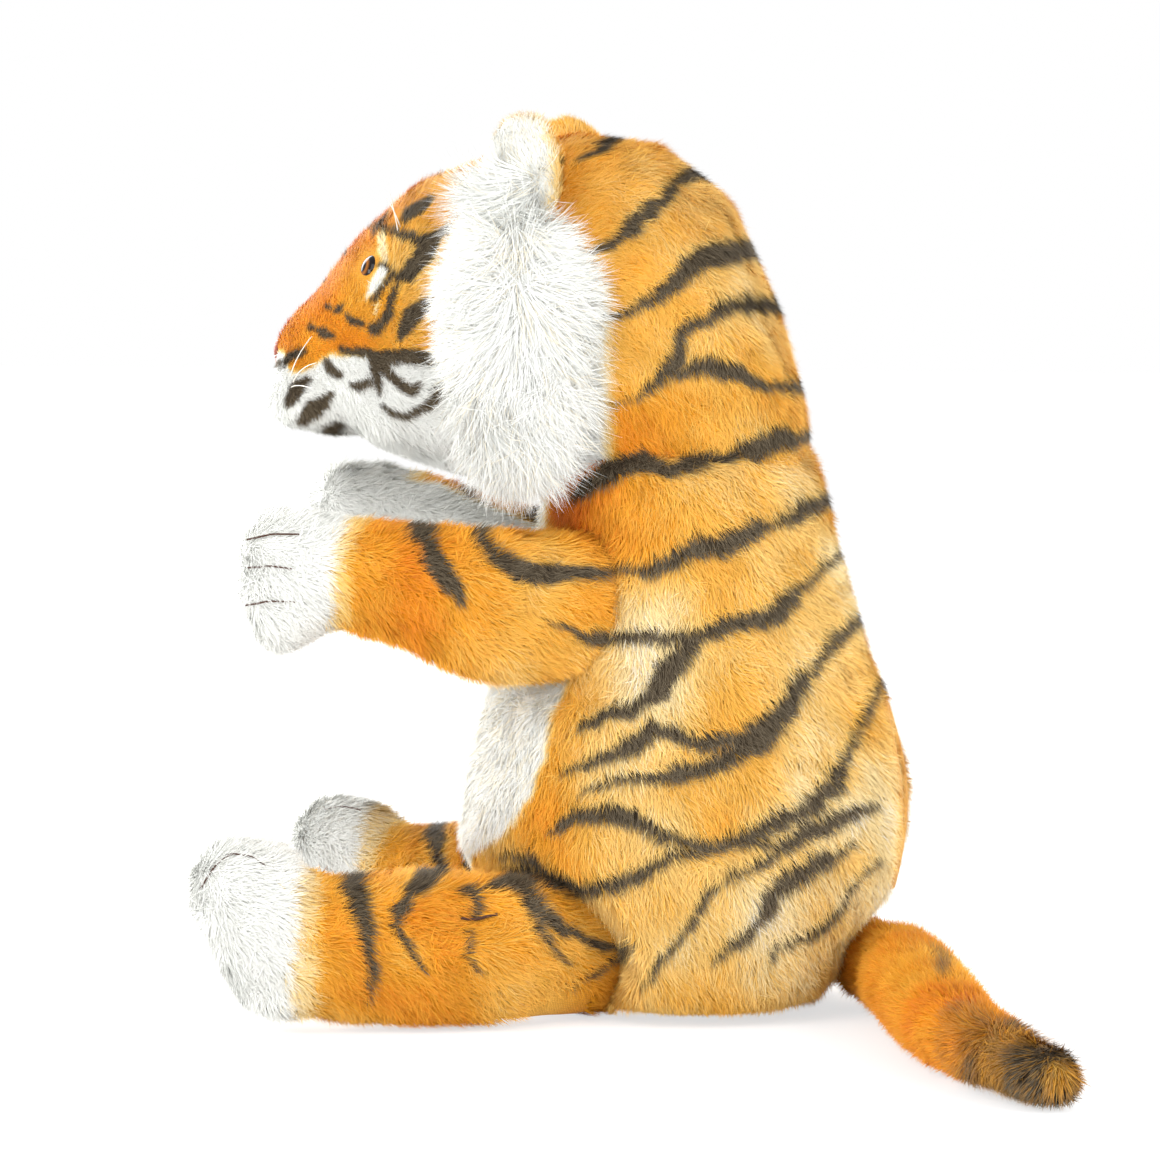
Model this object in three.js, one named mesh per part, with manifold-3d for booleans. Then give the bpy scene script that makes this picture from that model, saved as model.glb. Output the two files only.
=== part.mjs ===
// Tiger hand puppet: a plush glove puppet that sits by itself, with a slit in its lower back for the hand.
// Millimetres, +Z up. The tiger faces -Y and its left side is +X.
// The origin is on the flat seat that it rests on.
import * as THREE from "three";
import { mergeVertices } from "three/addons/utils/BufferGeometryUtils.js";
import { ConvexGeometry } from "three/addons/geometries/ConvexGeometry.js";
import Module from "manifold-3d";

const wasm = await Module();
wasm.setup();

// Cloth and clearances
const seam = 0.3; // between pieces that are sewn or fitted to each other
const socketGap = 0.4; // round a limb's root, which turns in the body
const plushWall = 6; // plush cloth of the body and head
const limbWall = 5; // plush cloth of paws, legs and tail
const liningWall = 1.6; // cloth of the hand bag
const rootInset = 1; // a limb's first girth lies this far inside its round root

// Torso: front, back and half width at each share of its height, pile included
const torsoHeight = 195; // from the seat to the neck
const torsoGirths = [
  { share: 0, front: -45, back: 62, half: 55 },
  { share: 0.05, front: -60, back: 74, half: 66 },
  { share: 0.155, front: -69, back: 84, half: 71 },
  { share: 0.31, front: -73, back: 91, half: 73 },
  { share: 0.46, front: -69, back: 88, half: 71 },
  { share: 0.615, front: -61, back: 82, half: 66 },
  { share: 0.77, front: -54, back: 73, half: 61 },
  { share: 0.9, front: -47, back: 66, half: 57 },
  { share: 1, front: -42, back: 60, half: 54 },
];
const torsoFullness = 2.3; // 2 is an ellipse, more is squarer
const bellyHalf = 46; // half width of the white belly
const seatThickness = 8;
const fillingFront = 78; // height of the stuffing under the hand bag, at the belly
const fillingBack = 40; // and at the back, just under the slit
const slitLow = 46;
const slitHigh = 108;
const slitHalf = 18; // half width of the slit when it gapes
const bindingWidth = 4;
const collarThickness = 6;

// Neck: the finger tube turns in the collar, and the head tips back on a line across the nape
const tubeY = 12;
const tubeBore = 15; // radius that the index finger goes through
const tubeWall = 2;
const tubeBelow = 28; // its length below the top of the torso
const tubeAbove = 10; // and above it
const nodY = 30;
const nodAngle = 18; // how far the head tips back, in degrees
const pocketTop = 67; // where the index finger ends, above the neck

// Head: from the nose to the nape, its lowest and highest point above the neck and its half width.
// Heights on the head are all above the neck.
const headGirths = [
  { y: -141, low: 34, high: 47, half: 11 },
  { y: -136, low: 26, high: 52, half: 16 },
  { y: -125, low: 17, high: 63, half: 24 },
  { y: -108, low: 10, high: 84, half: 36 },
  { y: -85, low: 3, high: 103, half: 49 },
  { y: -60, low: -3, high: 116, half: 58 },
  { y: -30, low: -8, high: 123, half: 62 },
  { y: 0, low: -11, high: 119, half: 61 },
  { y: 25, low: -9, high: 99, half: 56 },
  { y: 45, low: -8, high: 59, half: 44 },
  { y: 57, low: -7, high: 21, half: 26 },
];
const headFullness = 2.1;
const leastShare = 0.25; // of a girth of the head that stays however far it is shrunk

// Muzzle
const padAt = new THREE.Vector3(13, -124, 26);
const padRadii = new THREE.Vector3(17, 19, 16);
const chinAt = new THREE.Vector3(0, -117, 15);
const chinRadii = new THREE.Vector3(16, 15, 9);
const noseAt = new THREE.Vector3(0, -136.5, 40);
const noseRadii = new THREE.Vector3(12, 7, 8);
const whiskerLength = 34;
const whiskerRadius = 0.5;
const whiskerSpread = 14; // degrees between neighbouring strands
const whiskerTurn = 118; // degrees outward from straight ahead
const whiskerRise = 17; // degrees upward
const padKnotShare = new THREE.Vector3(0.9, -0.25, 0.25); // of the pad's radii, from its middle to the knot
const browLength = 18;
const browLean = 14; // degrees outward from upright
const browY = -90;
const browZ = 85;
const knotRadius = 1.8;

// Eyes, held by a washer behind the cloth
const eyeY = -104;
const eyeZ = 72;
const eyeRadius = 6.5;
const eyeTurn = 34; // degrees outward from straight ahead
const eyeTilt = 18; // degrees upward
const eyeSunk = 3; // depth of the dome's centre under the cloth
const shankRadius = 2;
const shankLength = 14;
const washerRadius = 6;
const washerThickness = 1.5;

// Ears and cheek ruffs
const earAt = new THREE.Vector3(46, -41, 105);
const earRadii = new THREE.Vector3(22, 9, 23);
const earTurn = 48; // degrees that the ear faces outward
const earLiningRadii = new THREE.Vector3(17, 5, 18);
const earLiningForward = 7; // from the ear's middle to the lining's
const ruffAt = new THREE.Vector3(56, -41, 48);
const ruffRadii = new THREE.Vector3(20, 31, 47);

// Arms: a round root in the shoulder, a sleeve and a paw
const shoulderDrop = 46; // from the neck down to the middle of the shoulder
const shoulder = new THREE.Vector3(54, -18, torsoHeight - shoulderDrop);
const shoulderRadius = 31;
const sleeveLength = 89;
const armSplay = 4; // degrees outward from straight ahead
const armRise = 7.5; // degrees upward
const wristHalfWidth = 22;
const wristHalfHeight = 24;
const pawLength = 36;
const pawHalfWidth = 25;
const pawHalfHeight = 27;
const pawDroop = 4; // how far the paw's tip hangs under the arm's axis
const pawLip = 1; // how far the paw stands out over the wrist
const pawSwell = 0.3; // share of the paw's length where it reaches its full girth
const pawFull = 0.6; // share where its rounded end begins
const cuffRadius = 16.5; // round cuff at the root of the finger pocket
const fingerBore = 12;
const pocketEnd = 8; // cloth between the finger pocket and the paw
const palmDrop = 68; // from the neck down to the place in the hand bag that the finger pockets open towards
const palmY = 46;
const armUp = 3; // degrees of travel, each way
const armDown = 22;
const armIn = 12;
const armOut = 30;

// Legs: a round root in the hip, a thigh and a foot with its toes up
const hip = new THREE.Vector3(50, -25, 29);
const hipRadius = 28.5;
const legLength = 96;
const legSplay = 17; // degrees outward from straight ahead
const legRise = 1.5; // degrees upward
const thighHalf = 29.5;
const ankleHalfWidth = 24;
const ankleHalfHeight = 27;
const heelRadius = 25;
const heelForward = 5; // from the ankle to the middle of the heel
const toeRadius = 21;
const toeForward = 20; // from the ankle to the middle of the toes
const toeHeight = 47;
const soleHeight = 0.2; // flat underside that lies on the floor
const legUp = 18; // degrees of travel, each way
const legDown = 30;

// Tail: a round root under the slit, then along the floor to the tiger's left
const tailRoot = new THREE.Vector3(0, 77, 20);
const tailRadius = 17;
const tailPoints = [
  { x: 22, y: 90, z: 20, radius: 19 },
  { x: 58, y: 99, z: 20, radius: 19.5 },
  { x: 96, y: 109, z: 19, radius: 18.5 },
  { x: 130, y: 121, z: 17.5, radius: 17 },
  { x: 157, y: 136, z: 15.5, radius: 15 },
  { x: 176, y: 153, z: 13.5, radius: 13 },
];
const tailTipFrom = 3; // number of the point where the dark tip begins
const tailTipRound = 11; // depth of the rounded end
const tailLeft = 8; // degrees of travel, each way
const tailRight = 80;

// Facets
const torsoSides = 20;
const headSides = 18;
const limbSides = 12;
const ballSides = 12;
const ballRings = 8;
const strandSides = 4;
const smallSides = 10; // of eyes and finger cuffs
const smallRings = 7;
const knotSides = 6;
const knotRings = 4;
const slitSides = 14; // per quarter of the slit's outline
const sweepStep = 14; // degrees between the poses that a limb's room is wrapped round
const domeRings = 2;
const tipShare = 0.5; // of a step that a dome's last ring stays short of its tip
const steepness = 0.9; // a path that rises more than this share takes +Y as its level
const weldDistance = 1e-4;
const beyond = 30; // how far a cut runs past what it cuts
const reach = 400; // half size of a block that holds the whole puppet

const headBase = torsoHeight + seam;
const radians = THREE.MathUtils.degToRad;
const axisX = new THREE.Vector3(1, 0, 0);
const axisY = new THREE.Vector3(0, 1, 0);
const axisZ = new THREE.Vector3(0, 0, 1);

// Closed skin through rings of points, each ring closed by a fan at the ends
function skin(rings) {
  const sides = rings[0].length;
  const points = rings.flat();
  const middle = (ring) => ring.reduce((sum, p) => sum.add(p), new THREE.Vector3()).divideScalar(sides);
  const start = points.push(middle(rings[0])) - 1;
  const end = points.push(middle(rings.at(-1))) - 1;
  const last = (rings.length - 1) * sides;
  const index = [];
  for (let i = 0; i < sides; i++) {
    const next = (i + 1) % sides;
    index.push(start, next, i, end, last + i, last + next);
    for (let base = 0; base < last; base += sides) {
      index.push(base + i, base + next, base + sides + next);
      index.push(base + i, base + sides + next, base + sides + i);
    }
  }
  return new THREE.BufferGeometry().setFromPoints(points).setIndex(index);
}

function signedPower(value, power) {
  return Math.sign(value) * Math.abs(value) ** power;
}

function torso(inset, below = 0, above = 0) {
  const girths = torsoGirths.map((g) => ({ ...g, z: g.share * torsoHeight }));
  if (below) girths.unshift({ ...girths[0], z: -below });
  if (above) girths.push({ ...girths.at(-1), z: torsoHeight + above });
  const rings = girths.map(({ z, front, back, half }) =>
    Array.from({ length: torsoSides }, (_, i) => {
      const angle = (2 * Math.PI * i) / torsoSides;
      const x = (half - inset) * signedPower(Math.cos(angle), 2 / torsoFullness);
      const y = ((back - front) / 2 - inset) * signedPower(Math.sin(angle), 2 / torsoFullness);
      return new THREE.Vector3(x, (front + back) / 2 + y, z);
    }),
  );
  return skin(rings);
}

function head(inset) {
  const nose = { ...headGirths[0], y: headGirths[0].y + inset };
  const nape = { ...headGirths.at(-1), y: headGirths.at(-1).y - inset };
  const between = headGirths.slice(1, -1).filter(({ y }) => y > nose.y && y < nape.y);
  const rings = [nose, ...between, nape].map(({ y, low, high, half }) =>
    Array.from({ length: headSides }, (_, i) => {
      const angle = (2 * Math.PI * i) / headSides;
      const halfTall = (high - low) / 2;
      const across = Math.max(half - inset, half * leastShare);
      const tall = Math.max(halfTall - inset, halfTall * leastShare);
      const x = across * signedPower(Math.sin(angle), 2 / headFullness);
      const z = (low + high) / 2 + tall * signedPower(Math.cos(angle), 2 / headFullness);
      return new THREE.Vector3(x, y, torsoHeight + z);
    }),
  );
  return skin(rings);
}

// Half width of the head's surface at a given place
function headSide(y, z) {
  const k = headGirths.findIndex((g) => g.y > y);
  const [a, b] = [headGirths[k - 1], headGirths[k]];
  const share = (y - a.y) / (b.y - a.y);
  const mix = (name) => THREE.MathUtils.lerp(a[name], b[name], share);
  const height = (2 * z - mix("high") - mix("low")) / (mix("high") - mix("low"));
  return mix("half") * (1 - Math.abs(height) ** headFullness) ** (1 / headFullness);
}

// Limb through stations { at, wide, tall }, square to its path, with a domed end if a depth is given.
// Both ends may be trimmed, and the first direction may be given.
function limb(stations, { grow = 0, dome = 0, trim = 0, sides = limbSides, from = null } = {}) {
  const along = (k) => {
    if (k === 0 && from) return from;
    const before = stations[Math.max(k - 1, 0)].at;
    const after = stations[Math.min(k + 1, stations.length - 1)].at;
    return after.clone().sub(before).normalize();
  };
  const ringAt = ({ at, wide, tall }, direction, share = 1) => {
    const level = Math.abs(direction.z) > steepness ? axisY : axisZ;
    const side = direction.clone().cross(level).normalize();
    const lift = side.clone().cross(direction);
    return Array.from({ length: sides }, (_, i) => {
      const angle = (-2 * Math.PI * i) / sides;
      const across = (wide + grow) * share * Math.cos(angle);
      const up = (tall + grow) * share * Math.sin(angle);
      return at.clone().addScaledVector(side, across).addScaledVector(lift, up);
    });
  };
  const last = stations.length - 1;
  const trimmed = stations.map((station, k) => {
    const inward = (k === 0 ? trim : 0) - (k === last ? trim : 0);
    return { ...station, at: station.at.clone().addScaledVector(along(k), inward) };
  });
  const rings = trimmed.map((station, k) => ringAt(station, along(k)));
  const end = trimmed[last];
  const ahead = along(last);
  for (let k = 1; dome && k <= domeRings; k++) {
    const angle = (k / (domeRings + tipShare)) * (Math.PI / 2);
    const at = end.at.clone().addScaledVector(ahead, (dome + grow) * Math.sin(angle));
    rings.push(ringAt({ ...end, at }, ahead, Math.cos(angle)));
  }
  return skin(rings);
}

const round = (at, radius) => ({ at, wide: radius, tall: radius });

function ball(at, radius, sides = ballSides, rings = ballRings) {
  return new THREE.SphereGeometry(radius, sides, rings).rotateX(Math.PI / 2).translate(...at);
}

// Ball-shaped room whose flat facets stay clear of a ball of this radius.
// It is turned so that its facets face the ball's corners.
function room(at, radius, gap = socketGap, sides = ballSides, rings = ballRings) {
  const halfStep = { round: Math.PI / sides, down: Math.PI / rings / 2 };
  const facets = Math.cos(halfStep.round) * Math.cos(halfStep.down);
  return ball(point(0, 0, 0), (radius + gap) / facets, sides, rings)
    .rotateZ(halfStep.round)
    .rotateX(halfStep.down)
    .translate(...at);
}

function ellipsoid(at, radii, { grow = 0, turn = 0, sides = ballSides, rings = ballRings } = {}) {
  return new THREE.SphereGeometry(1, sides, rings)
    .rotateX(Math.PI / 2)
    .scale(radii.x + grow, radii.y + grow, radii.z + grow)
    .rotateZ(radians(turn))
    .translate(...at);
}

// Rod between two points
function rod(start, end, radius, sides = limbSides) {
  return limb([round(start, radius), round(end, radius)], { sides });
}

// Block between two corners
function block(low, high) {
  const size = new THREE.Vector3().subVectors(high, low);
  const middle = new THREE.Vector3().addVectors(high, low).multiplyScalar(0.5);
  return new THREE.BoxGeometry(...size).translate(...middle);
}

const point = (x, y, z) => new THREE.Vector3(x, y, z);
const onHead = (x, y, z) => point(x, y, torsoHeight + z);
const aboveZ = (z) => solid(block(point(-reach, -reach, z), point(reach, reach, reach + z)));
const slab = (low, high) => solid(block(point(-reach, -reach, low), point(reach, reach, high)));

// Places and triangles alone, with corners that coincide made one
function welded(geometry) {
  const bare = new THREE.BufferGeometry().setAttribute("position", geometry.getAttribute("position"));
  if (geometry.index) bare.setIndex(geometry.index);
  return mergeVertices(bare, weldDistance);
}

// Copy on the other side, with the order of its corners turned round so that it still faces outward
function mirrored(geometry) {
  const copy = welded(geometry).scale(-1, 1, 1);
  return copy.setIndex(Array.from(copy.index.array).reverse());
}

// Solid of a closed geometry
function solid(geometry) {
  const merged = welded(geometry);
  return new wasm.Manifold(
    new wasm.Mesh({
      numProp: 3,
      vertProperties: merged.getAttribute("position").array,
      triVerts: new Uint32Array(merged.index.array),
    }),
  );
}

const joined = (geometries) => geometries.map(solid).reduce((all, one) => all.add(one));
const onBothSides = (geometries) => joined([...geometries, ...geometries.map(mirrored)]);

// The main body of a cut piece, without crumbs
function main(cut) {
  return cut.decompose().reduce((most, one) => (one.volume() > most.volume() ? one : most));
}

function turned(geometry, pivot, axis, degrees) {
  return geometry
    .clone()
    .translate(...pivot.clone().negate())
    .applyMatrix4(new THREE.Matrix4().makeRotationAxis(axis, radians(degrees)))
    .translate(...pivot);
}

// Tight wrap round a set of forms
function wrapped(forms) {
  const points = forms.flatMap((form) => {
    const places = form.getAttribute("position");
    return Array.from({ length: places.count }, (_, i) => new THREE.Vector3().fromBufferAttribute(places, i));
  });
  return new ConvexGeometry(points);
}

// Even stretches of a joint's travel, each from one pose to the next
function stretches(low, high) {
  const count = Math.ceil((high - low) / sweepStep);
  const pose = (i) => low + ((high - low) * i) / count;
  return Array.from({ length: count }, (_, i) => [pose(i), pose(i + 1)]);
}

// Roughness of each kind of surface
const cloth = 0.95;
const napped = 0.5;
const plastic = 0.4;
const nylon = 0.3;
const polished = 0.15;

const puppet = new THREE.Group();
const leftSide = new THREE.Group();
const rightSide = new THREE.Group();
rightSide.scale.x = -1;
puppet.add(leftSide, rightSide);

function meshOf(name, body, colour, roughness) {
  const made = main(body).getMesh();
  const geometry = new THREE.BufferGeometry();
  geometry.setAttribute("position", new THREE.BufferAttribute(made.vertProperties, 3));
  geometry.setIndex(new THREE.BufferAttribute(made.triVerts, 1));
  const material = new THREE.MeshStandardMaterial({ color: colour, roughness, metalness: 0 });
  const mesh = new THREE.Mesh(geometry, material);
  mesh.name = name;
  return mesh;
}

function piece(name, body, colour, roughness = cloth) {
  puppet.add(meshOf(name, body, colour, roughness));
}

function pair(name, body, colour, roughness = cloth) {
  leftSide.add(meshOf("left_" + name, body, colour, roughness));
  rightSide.add(meshOf("right_" + name, body, colour, roughness));
}

const orange = 0xd98a2b;
const white = 0xf1efe9;
const dark = 0x2b231d;
const cream = 0xe9d9b8;
const stuffing = 0xf6f4ee;
const noseBrown = 0x6d3d33;

// Arm: all of it about its root in the shoulder
const splayed = (splay, rise) =>
  point(0, -1, 0)
    .applyAxisAngle(axisX, -radians(rise))
    .applyAxisAngle(axisZ, radians(splay));
const armAhead = splayed(armSplay, armRise);
const onArm = (distance, drop = 0) =>
  shoulder.clone().addScaledVector(armAhead, distance).add(point(0, 0, -drop));
const wrist = { at: onArm(sleeveLength), wide: wristHalfWidth, tall: wristHalfHeight };
const sleeveStations = [round(shoulder, shoulderRadius - rootInset), wrist];
const pawGirth = { wide: pawHalfWidth, tall: pawHalfHeight };
const pawShape = (start) => [
  { at: onArm(start), wide: wristHalfWidth + pawLip, tall: wristHalfHeight },
  { at: onArm(sleeveLength + pawLength * pawSwell, pawDroop * pawSwell), ...pawGirth },
  { at: onArm(sleeveLength + pawLength * pawFull, pawDroop), ...pawGirth },
];
const pawDome = pawLength * (1 - pawFull);
const pawOuter = (grow) => limb(pawShape(sleeveLength + seam), { grow, dome: pawDome, from: armAhead });
const pawInner = (start, grow) =>
  limb(pawShape(sleeveLength + start), { grow: grow - limbWall, dome: pawDome, from: armAhead });
const sleeveRoom = limb(sleeveStations, { grow: socketGap });
const armAt = (out, lower) => turned(turned(sleeveRoom, shoulder, axisZ, out), shoulder, axisX, lower);
const armRoom = stretches(-armUp, armDown).flatMap((lower) =>
  stretches(-armIn, armOut).map((out) =>
    wrapped(out.flatMap((o) => lower.map((l) => armAt(o, l)))),
  ),
);
armRoom.push(room(shoulder, shoulderRadius));
const palm = point(0, palmY, torsoHeight - palmDrop).sub(shoulder).normalize();
const fingersFrom = (distance) => shoulder.clone().addScaledVector(palm, distance);
const fingerPocket = rod(shoulder, onArm(sleeveLength - pocketEnd), fingerBore);
const cuffMouth = rod(shoulder, fingersFrom(shoulderRadius + beyond), fingerBore);
const sleeveMouth = rod(shoulder, fingersFrom(shoulderRadius + beyond), cuffRadius);
const sleeve = solid(ball(shoulder, shoulderRadius))
  .add(solid(limb(sleeveStations)))
  .subtract(joined([room(shoulder, cuffRadius), fingerPocket, sleeveMouth]));
pair("sleeve", sleeve, orange);
pair(
  "arm_finger_tube",
  solid(ball(shoulder, cuffRadius)).subtract(joined([fingerPocket, cuffMouth])),
  cream,
);
pair("paw", solid(pawOuter(0)).subtract(solid(pawInner(-limbWall, 0))), white);
pair("paw_filling", solid(pawInner(seam, -seam)), stuffing);

// Leg: all of it about its root in the hip
const legAhead = splayed(legSplay, legRise);
const onLeg = (distance, height = null) => {
  const at = hip.clone().addScaledVector(legAhead, distance);
  return height === null ? at : at.setZ(height);
};
const legStations = [
  round(hip, hipRadius - rootInset),
  round(onLeg(legLength / 2), thighHalf),
  { at: onLeg(legLength), wide: ankleHalfWidth, tall: ankleHalfHeight },
];
function footForm() {
  const heel = ball(onLeg(legLength + heelForward, heelRadius), heelRadius);
  const toes = ball(onLeg(legLength + toeForward, toeHeight), toeRadius);
  const ankle = limb(legStations.slice(1));
  return wrapped([heel, toes, ankle]);
}
const pastAnkle = (distance) => {
  const start = onLeg(legLength + distance);
  return solid(rod(start, start.clone().addScaledVector(legAhead, reach), reach));
};
const overFloor = aboveZ(soleHeight);
const thighRoom = limb(legStations.slice(0, 2), { grow: socketGap });
const legRoom = stretches(-legUp, legDown).map((lower) =>
  wrapped(lower.map((l) => turned(thighRoom, hip, axisX, l))),
);
legRoom.push(room(hip, hipRadius));
const legHollow = (gap) => solid(limb(legStations, { grow: -limbWall - gap, trim: gap }));
const legSolid = solid(ball(hip, hipRadius)).add(solid(limb(legStations))).intersect(overFloor);
pair("leg_cover", legSolid.subtract(legHollow(0)), orange);
pair("foot", solid(footForm()).intersect(pastAnkle(seam)).intersect(overFloor), white);
pair("leg_filling", legHollow(seam), stuffing);

// Tail: one path, with its dark tip as a piece of its own
const tailStations = tailPoints.map(({ x, y, z, radius }) => round(point(x, y, z), radius));
tailStations.unshift(round(tailRoot, tailRadius - rootInset));
const tipStation = tailStations[tailTipFrom + 1];
const tipAhead = tailStations[tailTipFrom + 2].at
  .clone()
  .sub(tailStations[tailTipFrom].at)
  .normalize();
const tailWhole = (inset, trim) => solid(limb(tailStations, { grow: -inset, trim, dome: tailTipRound }));
const pastTip = (distance) => {
  const start = tipStation.at.clone().addScaledVector(tipAhead, distance);
  return solid(rod(start, start.clone().addScaledVector(tipAhead, reach), reach));
};
const tailStart = limb(tailStations.slice(0, 3), { grow: socketGap });
const tailRoom = stretches(-tailLeft, tailRight).map((swing) =>
  wrapped(swing.map((s) => turned(tailStart, tailRoot, axisZ, s))),
);
tailRoom.push(room(tailRoot, tailRadius));
const tailSolid = solid(ball(tailRoot, tailRadius)).add(tailWhole(0, 0));
const tailHollow = (gap) => tailWhole(limbWall + gap, gap);
piece("tail_cover", tailSolid.subtract(pastTip(0)).subtract(tailHollow(0)), orange);
piece("tail_tip", tailSolid.intersect(pastTip(seam)).subtract(tailHollow(0)), dark);
piece("tail_filling", tailHollow(seam), stuffing);

// Torso: a plush tube of flanks and belly on a flat seat, lined with the hand bag
const limbRoom = onBothSides([...armRoom, ...legRoom, ...tailRoom]);
const torsoOutside = solid(torso(0));
const torsoInside = (inset) => solid(torso(inset, beyond, beyond));
const overSeat = aboveZ(seatThickness + seam);
const plush = torsoOutside.subtract(torsoInside(plushWall)).intersect(overSeat);
const belly = (gap) =>
  solid(block(point(-bellyHalf - gap, -reach, -reach), point(bellyHalf + gap, 0, reach)));
function slit(grow) {
  const middle = (slitLow + slitHigh) / 2;
  const outline = new THREE.Shape();
  outline.absellipse(0, 0, slitHalf + grow, (slitHigh - slitLow) / 2 + grow, 0, 2 * Math.PI);
  const cut = { depth: reach, bevelEnabled: false, curveSegments: slitSides };
  const prism = new THREE.ExtrudeGeometry(outline, cut);
  return solid(prism.rotateX(Math.PI / 2).translate(0, reach + tubeY, middle));
}
const leftHalf = solid(block(point(seam / 2, -reach, -reach), point(reach, reach, reach)));
const flank = plush
  .subtract(belly(seam))
  .subtract(slit(bindingWidth + seam))
  .subtract(limbRoom)
  .intersect(leftHalf);
pair("flank", flank, orange);
piece("belly_panel", plush.intersect(belly(0)).subtract(limbRoom), white);
piece("seat_panel", torsoOutside.intersect(slab(-beyond, seatThickness)).subtract(limbRoom), orange);
piece("slit_binding", plush.intersect(slit(bindingWidth)).subtract(slit(0)).subtract(limbRoom), cream);

// Stuffing under the hand bag, higher at the belly than at the slit
function underSlope(rise) {
  const front = torsoGirths[0].front - beyond;
  const back = torsoGirths[0].back + beyond;
  const outline = new THREE.Shape([
    new THREE.Vector2(front, seatThickness + seam),
    new THREE.Vector2(back, seatThickness + seam),
    new THREE.Vector2(back, fillingBack + rise),
    new THREE.Vector2(front, fillingFront + rise),
  ]);
  const wedge = new THREE.ExtrudeGeometry(outline, { depth: 2 * reach, bevelEnabled: false });
  wedge.applyMatrix4(new THREE.Matrix4().makeBasis(axisY, axisZ, axisX));
  return solid(wedge.translate(-reach, 0, 0));
}
const bagOutside = torsoInside(plushWall + seam);
const underCollar = slab(0, torsoHeight - collarThickness - seam);
piece("seat_filling", bagOutside.intersect(underSlope(0)).subtract(limbRoom), stuffing);
piece(
  "hand_lining",
  bagOutside
    .subtract(torsoInside(plushWall + seam + liningWall))
    .intersect(underCollar)
    .subtract(underSlope(seam))
    .subtract(slit(0))
    .subtract(limbRoom),
  cream,
);

// Neck: collar in the top of the torso and finger tube through it
const upright = (radius, low, high) => rod(point(0, tubeY, low), point(0, tubeY, high), radius);
const tubeRadius = tubeBore + tubeWall;
const flatShare = Math.cos(Math.PI / limbSides); // from a round edge's corners to its flats
const collarBore = (tubeRadius + socketGap) / flatShare;
piece(
  "neck_collar",
  bagOutside
    .intersect(slab(torsoHeight - collarThickness, torsoHeight))
    .subtract(solid(upright(collarBore, 0, reach)))
    .subtract(limbRoom),
  cream,
);
piece(
  "head_finger_tube",
  solid(upright(tubeRadius, torsoHeight - tubeBelow, torsoHeight + tubeAbove)).subtract(
    solid(upright(tubeBore, 0, reach)),
  ),
  cream,
);

// Head: plush cover and stuffing, cut off level on the torso and sloped behind the line that it tips on
const nodLine = point(0, nodY, headBase);
const napeBlock = block(point(-reach, nodY, headBase - reach), point(reach, nodY + reach, headBase));
const overNeck = aboveZ(headBase).subtract(solid(turned(napeBlock, nodLine, axisX, nodAngle)));
const tubeReach = tubeAbove + tubeRadius * Math.sin(radians(nodAngle));
const tubeSwing = tubeRadius + tubeAbove * Math.sin(radians(nodAngle)) + socketGap + seam;
const headPocket = joined([
  upright(tubeSwing, 0, torsoHeight + tubeReach + seam),
  upright(tubeBore, 0, torsoHeight + pocketTop),
]);
const headSolid = solid(head(0));
const beyondHead = solid(head(-seam));

// Eyes: a dome on a shank, and the washer that grips it behind the cloth
const eyeAim = splayed(eyeTurn, eyeTilt);
const onEye = (depth) =>
  onHead(headSide(eyeY, eyeZ), eyeY, eyeZ).addScaledVector(eyeAim, -depth);
const washerDepth = Math.max(plushWall, eyeSunk + eyeRadius) + 2 * seam;
const eyeDisc = (radius, from, to) => rod(onEye(from), onEye(to), radius, smallSides);
const eye = solid(ball(onEye(eyeSunk), eyeRadius, smallSides, smallRings)).add(
  solid(eyeDisc(shankRadius, eyeSunk, shankLength)),
);
const washer = solid(eyeDisc(washerRadius, washerDepth, washerDepth + washerThickness)).subtract(
  solid(eyeDisc(shankRadius + seam, 0, shankLength + seam)),
);
pair("eye", eye, dark, polished);
pair("eye_washer", washer, white, plastic);
const eyeRoom = onBothSides([
  room(onEye(eyeSunk), eyeRadius, seam, smallSides, smallRings),
  eyeDisc(shankRadius + seam, 0, shankLength + seam),
  eyeDisc(washerRadius + seam, washerDepth - seam, shankLength + seam),
]);

// Whiskers: strands that fan out from a knot set in the cloth
const knotSize = point(knotRadius, knotRadius, knotRadius);
function whiskers(knot, aims, length) {
  const strands = aims.map((aim) => {
    const tip = knot.clone().addScaledVector(aim, length);
    const stations = [round(knot, whiskerRadius), round(tip, whiskerRadius / 2)];
    return limb(stations, { sides: strandSides });
  });
  return joined([ellipsoid(knot, knotSize, { sides: knotSides, rings: knotRings }), ...strands]);
}
const knotRoom = (knot) => ellipsoid(knot, knotSize, { grow: 2 * seam, sides: knotSides, rings: knotRings });
const browKnot = onHead(headSide(browY, browZ), browY, browZ);
const browAim = axisZ.clone().applyAxisAngle(axisY, radians(browLean));
pair("brow_whisker", whiskers(browKnot, [browAim], browLength), white, nylon);
const padMiddle = onHead(...padAt);
const padKnot = padRadii.clone().multiply(padKnotShare).add(padMiddle);
const whiskerAims = [-1, 0, 1].map((k) =>
  splayed(whiskerTurn, whiskerRise).applyAxisAngle(axisY, -radians(k * whiskerSpread)),
);
pair("whiskers", whiskers(padKnot, whiskerAims, whiskerLength), white, nylon);
const knotCuts = onBothSides([knotRoom(browKnot), knotRoom(padKnot)]);
const headCuts = headPocket.add(eyeRoom).add(knotCuts);
piece(
  "head_cover",
  headSolid.subtract(solid(head(plushWall))).intersect(overNeck).subtract(headCuts),
  orange,
);
piece(
  "head_filling",
  solid(head(plushWall + seam)).intersect(overNeck).subtract(headCuts),
  stuffing,
);

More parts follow.
